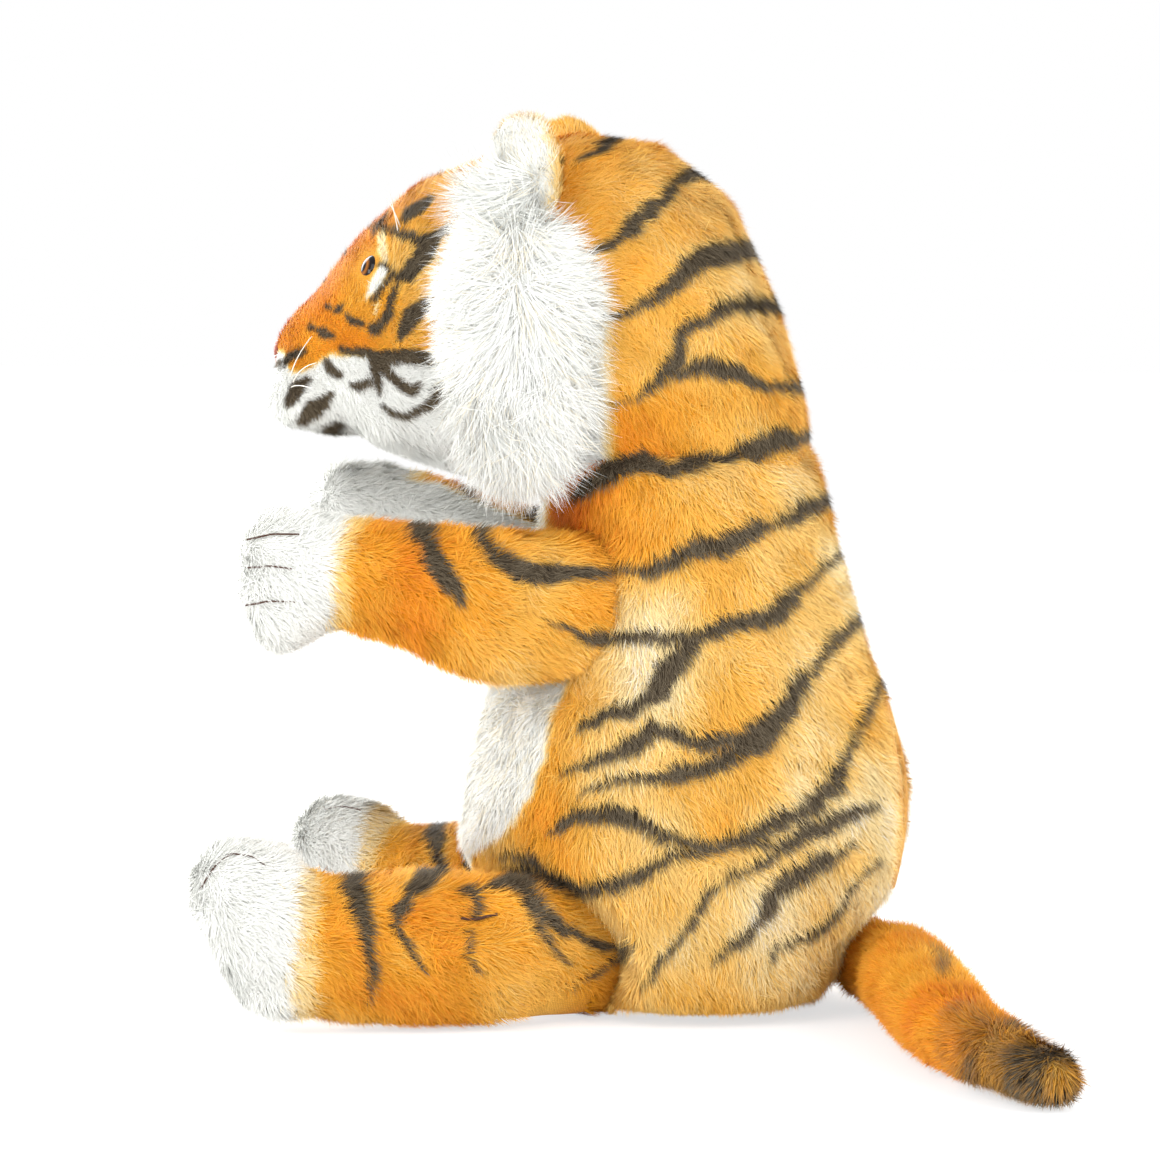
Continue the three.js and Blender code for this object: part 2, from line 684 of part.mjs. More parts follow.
// Muzzle, ears and ruffs lie on the head's cover
const pad = solid(ellipsoid(padMiddle, padRadii)).subtract(beyondHead).intersect(leftHalf);
const padGrown = onBothSides([ellipsoid(padMiddle, padRadii, { grow: seam })]);
const chinForm = (grow) => solid(ellipsoid(onHead(...chinAt), chinRadii, { grow }));
const chin = chinForm(0).subtract(beyondHead).subtract(padGrown).intersect(overNeck);
pair("whisker_pad", pad.subtract(knotCuts), white);
piece("chin", chin, white);
piece(
  "nose",
  solid(ellipsoid(onHead(...noseAt), noseRadii))
    .subtract(beyondHead)
    .subtract(padGrown)
    .subtract(chinForm(seam)),
  noseBrown,
  napped,
);

const earMiddle = onHead(...earAt);
const earAhead = point(0, -1, 0).applyAxisAngle(axisZ, radians(earTurn));
const earLiningAt = earMiddle.clone().addScaledVector(earAhead, earLiningForward);
const earLining = (grow) => solid(ellipsoid(earLiningAt, earLiningRadii, { grow, turn: earTurn }));
const ear = (grow) => solid(ellipsoid(earMiddle, earRadii, { grow, turn: earTurn }));
pair("ear", ear(0).subtract(beyondHead).subtract(earLining(seam)), orange);
pair("ear_lining", earLining(0).subtract(beyondHead), white);
const ruff = solid(ellipsoid(onHead(...ruffAt), ruffRadii)).subtract(beyondHead).intersect(overNeck);
pair("ruff", ruff.subtract(ear(seam)).subtract(earLining(seam)), white);

export default puppet;
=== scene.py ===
# %% [markdown]
# # A plush tiger hand puppet
#
# The puppet is a glove: a hollow body that a hand goes into from the back, with a stuffed head, two
# arms for the thumb and middle finger, stuffed legs and a tail. All of it is plush, which is a woven
# backing with a combed pile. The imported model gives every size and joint, so this lesson only dresses
# it: backing cloth first, then the pile, then eyes, nose, whiskers and stitches.

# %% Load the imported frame
import math

import bpy
import numpy as np
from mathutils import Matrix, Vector
from mathutils.bvhtree import BVHTree


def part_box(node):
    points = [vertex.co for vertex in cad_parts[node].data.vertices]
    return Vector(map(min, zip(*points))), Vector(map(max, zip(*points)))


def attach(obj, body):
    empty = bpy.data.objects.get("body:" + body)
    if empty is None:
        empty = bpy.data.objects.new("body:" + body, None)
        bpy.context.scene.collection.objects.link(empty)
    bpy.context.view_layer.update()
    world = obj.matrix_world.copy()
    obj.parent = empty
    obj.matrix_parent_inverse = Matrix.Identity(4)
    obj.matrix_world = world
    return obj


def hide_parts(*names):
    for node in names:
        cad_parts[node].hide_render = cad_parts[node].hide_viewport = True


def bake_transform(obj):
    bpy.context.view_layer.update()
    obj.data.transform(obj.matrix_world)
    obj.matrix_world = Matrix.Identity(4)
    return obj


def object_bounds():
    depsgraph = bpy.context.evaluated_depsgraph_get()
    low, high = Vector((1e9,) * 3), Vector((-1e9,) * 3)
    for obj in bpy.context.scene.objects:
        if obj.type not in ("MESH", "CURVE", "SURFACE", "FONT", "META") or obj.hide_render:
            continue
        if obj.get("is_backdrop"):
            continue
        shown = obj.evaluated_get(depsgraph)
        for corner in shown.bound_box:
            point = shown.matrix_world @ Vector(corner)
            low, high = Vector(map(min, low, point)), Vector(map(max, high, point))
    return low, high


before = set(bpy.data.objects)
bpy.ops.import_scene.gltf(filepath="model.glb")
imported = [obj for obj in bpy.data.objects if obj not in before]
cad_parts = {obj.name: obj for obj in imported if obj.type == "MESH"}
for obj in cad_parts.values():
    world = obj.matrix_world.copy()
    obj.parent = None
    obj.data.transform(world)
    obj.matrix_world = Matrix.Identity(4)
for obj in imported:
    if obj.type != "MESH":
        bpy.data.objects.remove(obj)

scene = bpy.context.scene
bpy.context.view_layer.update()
MM = 0.001
SIDES = {"left": 1, "right": -1}

# %% [markdown]
# ## The camera
#
# The photograph is a side view from far away, a little above the puppet. A long lens at a long distance
# gives the same flat perspective. The focal length is first thought of in pixels of a square picture and
# then turned into millimetres on Blender's sensor.

# %% Camera
PICTURE_PIXELS = 1160
FOCAL_PIXELS = 4400
SENSOR_MM = 36
CAMERA_AZIMUTH = math.radians(99)
CAMERA_ELEVATION = math.radians(4.9)
CAMERA_DISTANCE = 1.6
CAMERA_TARGET = Vector((0, -0.029, 0.1535))

look = Vector((
    -math.sin(CAMERA_AZIMUTH) * math.cos(CAMERA_ELEVATION),
    math.cos(CAMERA_AZIMUTH) * math.cos(CAMERA_ELEVATION),
    -math.sin(CAMERA_ELEVATION),
))
bpy.ops.object.camera_add(
    location=CAMERA_TARGET - look * CAMERA_DISTANCE,
    rotation=look.to_track_quat("-Z", "Y").to_euler(),
)
camera = bpy.context.object
camera.data.sensor_width = SENSOR_MM
camera.data.lens = SENSOR_MM * FOCAL_PIXELS / PICTURE_PIXELS
scene.camera = camera
print("camera lens:", round(camera.data.lens, 1), "mm")

# %% [markdown]
# ## Nodes by hand, with less typing
#
# Every material here is a small net of nodes. One helper puts a node into a tree, sets its buttons and
# either types a value into a socket or draws a link to it. Colours are written as they look on a screen
# and turned into the linear values that the shader works with.

# %% Node helpers
def put(tree, kind, inputs=None, **buttons):
    made = tree.nodes.new(kind)
    for name, value in buttons.items():
        setattr(made, name, value)
    for name, value in (inputs or {}).items():
        if isinstance(value, bpy.types.NodeSocket):
            tree.links.new(value, made.inputs[name])
        else:
            made.inputs[name].default_value = value
    return made


def screen_colour(red, green, blue):
    parts = [c / 255 for c in (red, green, blue)]
    return [c / 12.92 if c <= 0.04045 else ((c + 0.055) / 1.055) ** 2.4 for c in parts] + [1.0]


def blended(tree, share, first, second, kind="MIX"):
    """Colour mix: sockets 0, 6 and 7 are the factor and the two colours."""
    mix = put(tree, "ShaderNodeMix", {0: share, 6: first, 7: second}, data_type="RGBA", blend_type=kind)
    return mix.outputs[2]


def sum_of(tree, kind, first, second=0.0, third=0.0):
    return put(tree, "ShaderNodeMath", {0: first, 1: second, 2: third}, operation=kind).outputs[0]


def ramp_of(tree, value, stops):
    ramp = put(tree, "ShaderNodeValToRGB", {"Fac": value})
    points = ramp.color_ramp.elements
    while len(points) < len(stops):
        points.new(0.5)
    for point, (place, colour) in zip(points, stops):
        point.position = place
        point.color = colour
    return ramp.outputs["Color"]


def new_group(name, inputs, outputs):
    """An empty node group with its sockets, and what its input node hands in."""
    group = bpy.data.node_groups.new(name, "ShaderNodeTree")
    for way, sockets in (("INPUT", inputs), ("OUTPUT", outputs)):
        for socket, kind in sockets.items():
            group.interface.new_socket(socket, in_out=way, socket_type="NodeSocket" + kind)
    return group, put(group, "NodeGroupInput").outputs


def new_finish(name, roughness, sheen=0.0, specular=0.3):
    """A material with one surface shader. Values that are the same all over stay on its sockets."""
    material = bpy.data.materials.new(name)
    material.use_nodes = True
    shader = material.node_tree.nodes["Principled BSDF"]
    shader.inputs["Roughness"].default_value = roughness
    shader.inputs["Sheen Weight"].default_value = sheen
    shader.inputs["Specular IOR Level"].default_value = specular
    return material, material.node_tree, shader


def cloudy_plastic(name, roughness, specular, scale, dark, light):
    """Plain plastic with slight clouds in its colour."""
    material, tree, shader = new_finish(name, roughness, specular=specular)
    place = put(tree, "ShaderNodeTexCoord").outputs["Object"]
    clouds = put(tree, "ShaderNodeTexNoise", {"Vector": place, "Scale": scale, "Detail": 2.0}).outputs["Fac"]
    colour = blended(tree, clouds, screen_colour(*dark), screen_colour(*light))
    tree.links.new(colour, shader.inputs["Base Color"])
    return material


print("colour check, golden orange:", [round(c, 3) for c in screen_colour(236, 165, 60)])

# %% [markdown]
# ## Studio
#
# The puppet sits on a white sweep under big soft lamps. The sky seen by the camera is plain white, while
# the sky that lights the puppet is a little weaker, so lamps can still give it form. The floor adds a
# glow that only the camera sees, which keeps it white and leaves the soft contact shadow.

# %% Sky and floor
WHITE = (1, 1, 1, 1)
SKY_LEVEL = 0.78
FLOOR_GLOW = 0.67
FLOOR_SHARE = 0.46
FLOOR_BOUNCE = 0.92
FLOOR_SIZE = 12
FLOOR_DROP = 0.0004


def seen_directly(tree):
    """1 for what the camera sees, also in a mirror or through glass, and 0 for light on its way."""
    path = put(tree, "ShaderNodeLightPath").outputs
    seen = sum_of(tree, "ADD", path["Is Camera Ray"], path["Is Glossy Ray"])
    return sum_of(tree, "MINIMUM", sum_of(tree, "ADD", seen, path["Is Transmission Ray"]), 1.0)


def grey(level):
    return (level, level, level, 1)


world = bpy.data.worlds.new("studio")
scene.world = world
world.use_nodes = True
sky = world.node_tree
sky.nodes.clear()
sky_light = put(sky, "ShaderNodeBackground", {"Color": WHITE, "Strength": SKY_LEVEL})
sky_seen = put(sky, "ShaderNodeBackground", {"Color": WHITE, "Strength": 1.0})
sky_mix = put(sky, "ShaderNodeMixShader", {
    0: seen_directly(sky), 1: sky_light.outputs[0], 2: sky_seen.outputs[0],
})
put(sky, "ShaderNodeOutputWorld", {"Surface": sky_mix.outputs[0]})

bpy.ops.object.select_all(action="DESELECT")
bpy.ops.mesh.primitive_plane_add(size=FLOOR_SIZE, location=(0, 0, -FLOOR_DROP))
floor = bpy.context.object
floor.name = "studio_floor"
floor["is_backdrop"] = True
floor_paint = bpy.data.materials.new("white_sweep")
floor_paint.use_nodes = True
tree = floor_paint.node_tree
tree.nodes.clear()
lit = put(tree, "ShaderNodeBsdfDiffuse", {"Color": grey(FLOOR_SHARE)})
pale = put(tree, "ShaderNodeBsdfDiffuse", {"Color": grey(FLOOR_BOUNCE)})
glow = put(tree, "ShaderNodeEmission", {"Color": WHITE, "Strength": FLOOR_GLOW})
shown = put(tree, "ShaderNodeAddShader", {0: lit.outputs[0], 1: glow.outputs[0]})
floor_mix = put(tree, "ShaderNodeMixShader", {
    0: seen_directly(tree), 1: pale.outputs[0], 2: shown.outputs[0],
})
put(tree, "ShaderNodeOutputMaterial", {"Surface": floor_mix.outputs[0]})
floor.data.materials.append(floor_paint)
print("sky and floor: level", SKY_LEVEL, "and glow", FLOOR_GLOW)

# %% [markdown]
# ## Lamps
#
# A product picture of a soft toy is lit all round, so that white pile stays white. Four square softboxes
# do it: one beside the camera, one behind for back and rump, one at the far front for belly, muzzle and
# far limbs, and a low one for the near paws. Each entry gives a lamp's place and size in metres and its
# power in watts.

# %% Softboxes
LAMPS = {
    "key_softbox": ((1.45, -0.75, 1.15), 1.1, 15),
    "back_softbox": ((0.90, 1.50, 0.95), 1.0, 22),
    "far_softbox": ((-1.15, -1.10, 0.85), 1.2, 34),
    "low_softbox": ((1.05, -1.35, 0.31), 0.55, 9),
}
for name, (place, size, power) in LAMPS.items():
    aim = CAMERA_TARGET - Vector(place)
    bpy.ops.object.light_add(type="AREA", location=place, rotation=aim.to_track_quat("-Z", "Y").to_euler())
    lamp = bpy.context.object
    lamp.name = name
    lamp.data.size = size
    lamp.data.energy = power
scene.view_settings.view_transform = "Standard"
print("studio:", len(LAMPS), "soft lamps over a white floor")

# %% [markdown]
# ## Backing cloth
#
# A plush toy is sewn from panels and stuffed until it is round. Drawing each panel would give hard
# seams that the pile hides anyway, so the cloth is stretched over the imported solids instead: a convex
# wrap is remeshed into even squares and pulled onto the solids, again and again, until it also follows
# the hollows. It is then drawn in a little, because the pile has to stand on it and still end where the
# solid ends.

# %% Helpers to stretch cloth over solids
MERGE_DISTANCE = 0.01 * MM


def pick(*objects):
    bpy.ops.object.select_all(action="DESELECT")
    for thing in objects:
        thing.select_set(True)
    bpy.context.view_layer.objects.active = objects[0]


def use(thing, kind, **settings):
    pick(thing)
    modifier = thing.modifiers.new(kind.lower(), kind)
    for name, value in settings.items():
        setattr(modifier, name, value)
    bpy.ops.object.modifier_apply(modifier=modifier.name)


def edit_whole(thing, step):
    """Runs a mesh tool on all of a thing."""
    pick(thing)
    bpy.ops.object.mode_set(mode="EDIT")
    bpy.ops.mesh.select_all(action="SELECT")
    step()
    bpy.ops.object.mode_set(mode="OBJECT")


def new_thing(name, data):
    thing = bpy.data.objects.new(name, data)
    scene.collection.objects.link(thing)
    return thing


def wear(thing, material):
    thing.data.materials.clear()
    thing.data.materials.append(material)


def joined_copy(name, nodes):
    """One merged copy of CAD nodes: their own meshes are loose triangles and stay as they are."""
    copies = [new_thing(name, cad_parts[node].data.copy()) for node in nodes]
    pick(*copies)
    if len(copies) > 1:
        bpy.ops.object.join()
    whole = copies[0]
    edit_whole(whole, lambda: bpy.ops.mesh.remove_doubles(threshold=MERGE_DISTANCE))
    whole.data.materials.clear()
    return whole


def stretch_cloth(name, nodes, square, drawn_in, rounds=3, calm=4):
    form = joined_copy(name + "_form", nodes)
    pick(form)
    bpy.ops.object.duplicate()
    cloth = bpy.context.object
    cloth.name = cloth.data.name = name
    edit_whole(cloth, bpy.ops.mesh.convex_hull)
    for _ in range(rounds):
        use(cloth, "REMESH", mode="VOXEL", voxel_size=square * MM)
        use(cloth, "SHRINKWRAP", target=form, wrap_method="NEAREST_SURFACEPOINT", wrap_mode="ON_SURFACE")
    use(cloth, "REMESH", mode="VOXEL", voxel_size=square * MM)
    use(cloth, "SMOOTH", factor=0.5, iterations=calm)
    use(cloth, "DISPLACE", strength=-drawn_in * MM, mid_level=0.0)
    bpy.data.objects.remove(form)
    return cloth


print("solids to dress:", len(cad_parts))

# %% [markdown]
# ## Eleven covers
#
# Seams that don't move are left out: flanks, belly and seat are one cover, and so are a sleeve and its
# paw. Where a joint turns, covers stay apart. For each cover there are the nodes under it, the square
# of its mesh and how far it is drawn in, in millimetres. Hollow forms need more rounds of pulling.

# %% Cut the cloths
CLOTHS = {
    "torso_cloth": (["left_flank", "right_flank", "belly_panel", "seat_panel"], 5.0, 5.0),
    "head_cloth": (["head_cover", "left_whisker_pad", "right_whisker_pad", "chin"], 4.0, 3.0),
    "tail_cloth": (["tail_cover", "tail_tip"], 4.0, 4.0),
}
for side in SIDES:
    CLOTHS[f"{side}_arm_cloth"] = ([f"{side}_sleeve", f"{side}_paw"], 4.0, 4.0)
    CLOTHS[f"{side}_leg_cloth"] = ([f"{side}_leg_cover", f"{side}_foot"], 4.0, 4.0)
    CLOTHS[f"{side}_ear_cloth"] = ([f"{side}_ear", f"{side}_ear_lining"], 2.5, 1.5)
    CLOTHS[f"{side}_ruff_cloth"] = ([f"{side}_ruff"], 4.0, 2.5)
ROUNDS = {"tail_cloth": 5, "head_cloth": 4}
cloths = {
    name: stretch_cloth(name, nodes, square, drawn_in, ROUNDS.get(name, 3))
    for name, (nodes, square, drawn_in) in CLOTHS.items()
}
print("cloths:", {name: len(cloth.data.polygons) for name, cloth in cloths.items()})

# %% [markdown]
# ## Where pieces meet
#
# The solids end exactly at their joints, and cloth stretched over them has round edges there, which
# would leave a groove. So the body's top is drawn up into the head and the nape down into the body, the
# shoulders and hips sink into the flanks, and the loose cloth under the upper arm hangs a little. The
# knee gets the dimple that its tacking stitch pulls, and the toes turn up. No two limbs of a soft toy
# lie quite alike: the far arm sits a little higher and the far leg a little lower. Each function takes
# and gives places in millimetres.

# %% Ease the covers into each other
def ease(value, start, end):
    share = np.clip((value - start) / (end - start), 0, 1)
    return share * share * (3 - 2 * share)


def mesh_points(thing):
    flat = np.empty(len(thing.data.vertices) * 3, np.float32)
    thing.data.vertices.foreach_get("co", flat)
    return flat.reshape(-1, 3).astype(float)


def set_points(thing, points):
    thing.data.vertices.foreach_set("co", points.astype(np.float32).ravel())
    thing.data.update()


def reshape(cloth, move):
    x, y, z = (mesh_points(cloth) / MM).T
    set_points(cloth, np.stack(move(x, y, z), axis=1) * MM)


KNEE = (-54, 41)


def body_top(x, y, z):
    rump = 6.0 * np.exp(-(((z - 80) / 30) ** 2)) * ease(y, 50, 82) - ease(y, 30, 60) * ease(z, 108, 130)
    belly = 4.5 * ease(-y, 30, 55) * ease(z, 46, 62) * ease(-z, -138, -118)
    tucked = 1 - 0.07 * ease(z, 178, 198)
    return x * tucked, 12 + (y - 12) * tucked + rump - belly, z + 12 * ease(z, 165, 190)


def face_and_nape(x, y, z):
    bridge = ease(-y, 58, 88) * ease(z, 236, 250)
    jowl = 4.5 * ease(-y, 80, 98) * ease(-z, -230, -212) * ease(np.abs(x), 6, 18)
    drawn_down = 14 * ease(-z, -222, -197) * ease(y, -45, -15)
    drawn_down = drawn_down + 6 * ease(y, -114, -100) * ease(-y, 50, 62) * ease(-z, -232, -214)
    nose = 2.6 * ease(-y, 116, 136) * ease(-z, -256, -240)
    back = 2.4 * ease(y, 25, 50) + 2.6 * bridge + nose
    return x + np.sign(x) * jowl, y - back, z - drawn_down + 3.0 * bridge


def shoulder(x, y, z):
    sag = 9.5 * np.exp(-(((y + 58) / 28) ** 2)) * ease(-z, -150, -125)
    paw = ease(-y, 105, 128)
    sag = sag + 6.5 * paw * ease(-z, -168, -146)
    far_lift = np.where(x < 0, 9.0, 0) * ease(-y, 50, 110)
    return x - np.sign(x) * 31 * ease(y, -58, 6), y - 2.5 * paw, z - sag + far_lift


def knee_and_foot(x, y, z):
    gap = ((y - KNEE[0]) / 11) ** 2 + ((z - KNEE[1]) / 6) ** 2
    folds = 2.4 * np.exp(-((np.sqrt(gap) - 1.9) ** 2) * 3)
    outer = ease(np.abs(x), 52, 68)
    toes = ease(-y, 104, 130)
    lift = toes * np.where(x > 0, 3.0 + 2.0 * ease(z, 40, 60), 1.0)
    lift = lift - np.where(x < 0, 4.0, 0) * ease(-y, 70, 115)
    hip = 20 * ease(y, -46, -3)
    lift = lift - 4.3 * ease(-z, -19, -7) * (1 - 0.6 * toes)
    return x + np.sign(x) * (outer * (folds - 5.5 * np.exp(-gap)) - hip), y - 2.5 * toes, z + lift


def cheek(x, y, z):
    return x - np.sign(x) * 9 * ease(-z, -262, -212), y - 0.14 * (y + 42), z


reshape(cloths["torso_cloth"], body_top)
reshape(cloths["head_cloth"], face_and_nape)
reshape(cloths["tail_cloth"], lambda x, y, z: (x, y, z - 2.8))
for side in SIDES:
    reshape(cloths[f"{side}_arm_cloth"], shoulder)
    reshape(cloths[f"{side}_leg_cloth"], knee_and_foot)
    reshape(cloths[f"{side}_ruff_cloth"], cheek)
print("covers eased into each other at neck and shoulders")

# %% [markdown]
# ## Stuffing
#
# Stuffing presses a cover out from inside, so each one is a closed cloth with air pressure and no
# weight for a few frames. The cap keeps a point near where it was cut, because a sewn panel hardly
# stretches. All covers are stepped together, and one subdivision makes them smooth enough to root the
# pile on.

# %% Fill the covers
STUFFING_FRAMES = 20
STUFFING_PRESSURE = 4
STUFFING_CAP = 2.0 * MM


def fill_with_stuffing(covers):
    before = {cover.name: mesh_points(cover) for cover in covers}
    for cover in covers:
        cloth = cover.modifiers.new("Cloth", "CLOTH")
        cloth.settings.quality = 4
        cloth.settings.use_pressure = True
        cloth.settings.uniform_pressure_force = STUFFING_PRESSURE
        cloth.settings.effector_weights.gravity = 0
        cloth.collision_settings.use_collision = False
        cloth.point_cache.frame_end = STUFFING_FRAMES
    for step in range(1, STUFFING_FRAMES + 1):
        scene.frame_set(step)
    for cover in covers:
        pick(cover)
        bpy.ops.object.modifier_apply(modifier="Cloth")
        move = mesh_points(cover) - before[cover.name]
        far = np.linalg.norm(move, axis=1, keepdims=True)
        capped = before[cover.name] + move * np.minimum(1, STUFFING_CAP / np.maximum(far, 1e-9))
        set_points(cover, capped)
        print("stuffed", cover.name, "by up to", round(float(far.max()) / MM, 1), "mm before the cap")
    scene.frame_set(1)


fill_with_stuffing(list(cloths.values()))
for cloth in cloths.values():
    use(cloth, "SUBSURF", levels=1, render_levels=1)
    pick(cloth)
    bpy.ops.object.shade_smooth()
print("faces after smoothing:", sum(len(cloth.data.polygons) for cloth in cloths.values()))

# %% [markdown]
# ## The hand slit
#
# The hand goes in through a slit low on the back, and a bag of thin cloth leads it to the finger
# places. A lens-shaped knife cuts both the cover and the bag, and a rolled tape binds the edge. The
# cutter starts as a sphere that is squeezed to the slit's size.

# %% Cut the slit and hang the bag behind it
slit_low, slit_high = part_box("slit_binding")
SLIT_HALF_WIDTH = 0.0085
SLIT_DEPTH = 0.028
slit_middle = (slit_low + slit_high) / 2
slit_half_height = (slit_high.z - slit_low.z) / 2 - 0.004


def squeezed_ball(name, place, half_sizes, segments):
    bpy.ops.object.select_all(action="DESELECT")
    bpy.ops.mesh.primitive_uv_sphere_add(segments=segments, ring_count=24, radius=1, location=place)
    ball = bpy.context.object
    ball.name = ball.data.name = name
    ball.scale = half_sizes
    bpy.ops.object.transform_apply(location=True, rotation=True, scale=True)
    return ball


bag = stretch_cloth("hand_bag", ["hand_lining"], 5.0, 4.0)
knife = squeezed_ball("slit_knife", slit_middle, (SLIT_HALF_WIDTH, SLIT_DEPTH, slit_half_height), 32)
use(bag, "BOOLEAN", operation="DIFFERENCE", object=knife, solver="EXACT")
use(cloths["torso_cloth"], "BOOLEAN", operation="DIFFERENCE", object=knife, solver="EXACT")


def open_the_hole(thing):
    """The knife leaves a dish: its faces are thrown away, so the hand can pass."""
    pick(thing)
    half_sizes = np.array([SLIT_HALF_WIDTH, SLIT_DEPTH, slit_half_height])
    points = (mesh_points(thing) - np.array(slit_middle)) / half_sizes
    on_knife = np.abs(np.linalg.norm(points, axis=1) - 1) < 0.02
    bpy.ops.object.mode_set(mode="EDIT")
    bpy.ops.mesh.select_all(action="DESELECT")
    bpy.ops.object.mode_set(mode="OBJECT")
    for face in thing.data.polygons:
        face.select = all(on_knife[v] for v in face.vertices)
    bpy.ops.object.mode_set(mode="EDIT")
    bpy.ops.mesh.select_mode(type="FACE")
    bpy.ops.mesh.delete(type="FACE")
    bpy.ops.object.mode_set(mode="OBJECT")


for thing in (bag, cloths["torso_cloth"]):
    open_the_hole(thing)
bpy.data.objects.remove(knife)
print("slit:", round(2 * slit_half_height / MM), "mm high in", cloths["torso_cloth"].name, "and", bag.name)

# %% [markdown]
# ## Where the coat is white and where it is striped
#
# The pile is dyed before it is cut: white on belly, paws, feet and muzzle, golden to deep orange
# elsewhere, with sprayed dark stripes that taper at both ends. A picture could be laid over the cloth,
# but it would blur and stretch, so stripes are drawn as strokes. A stroke is a short list of points, each
# with how far back, how high and half how wide it is, in millimetres, and both flanks carry the same list.

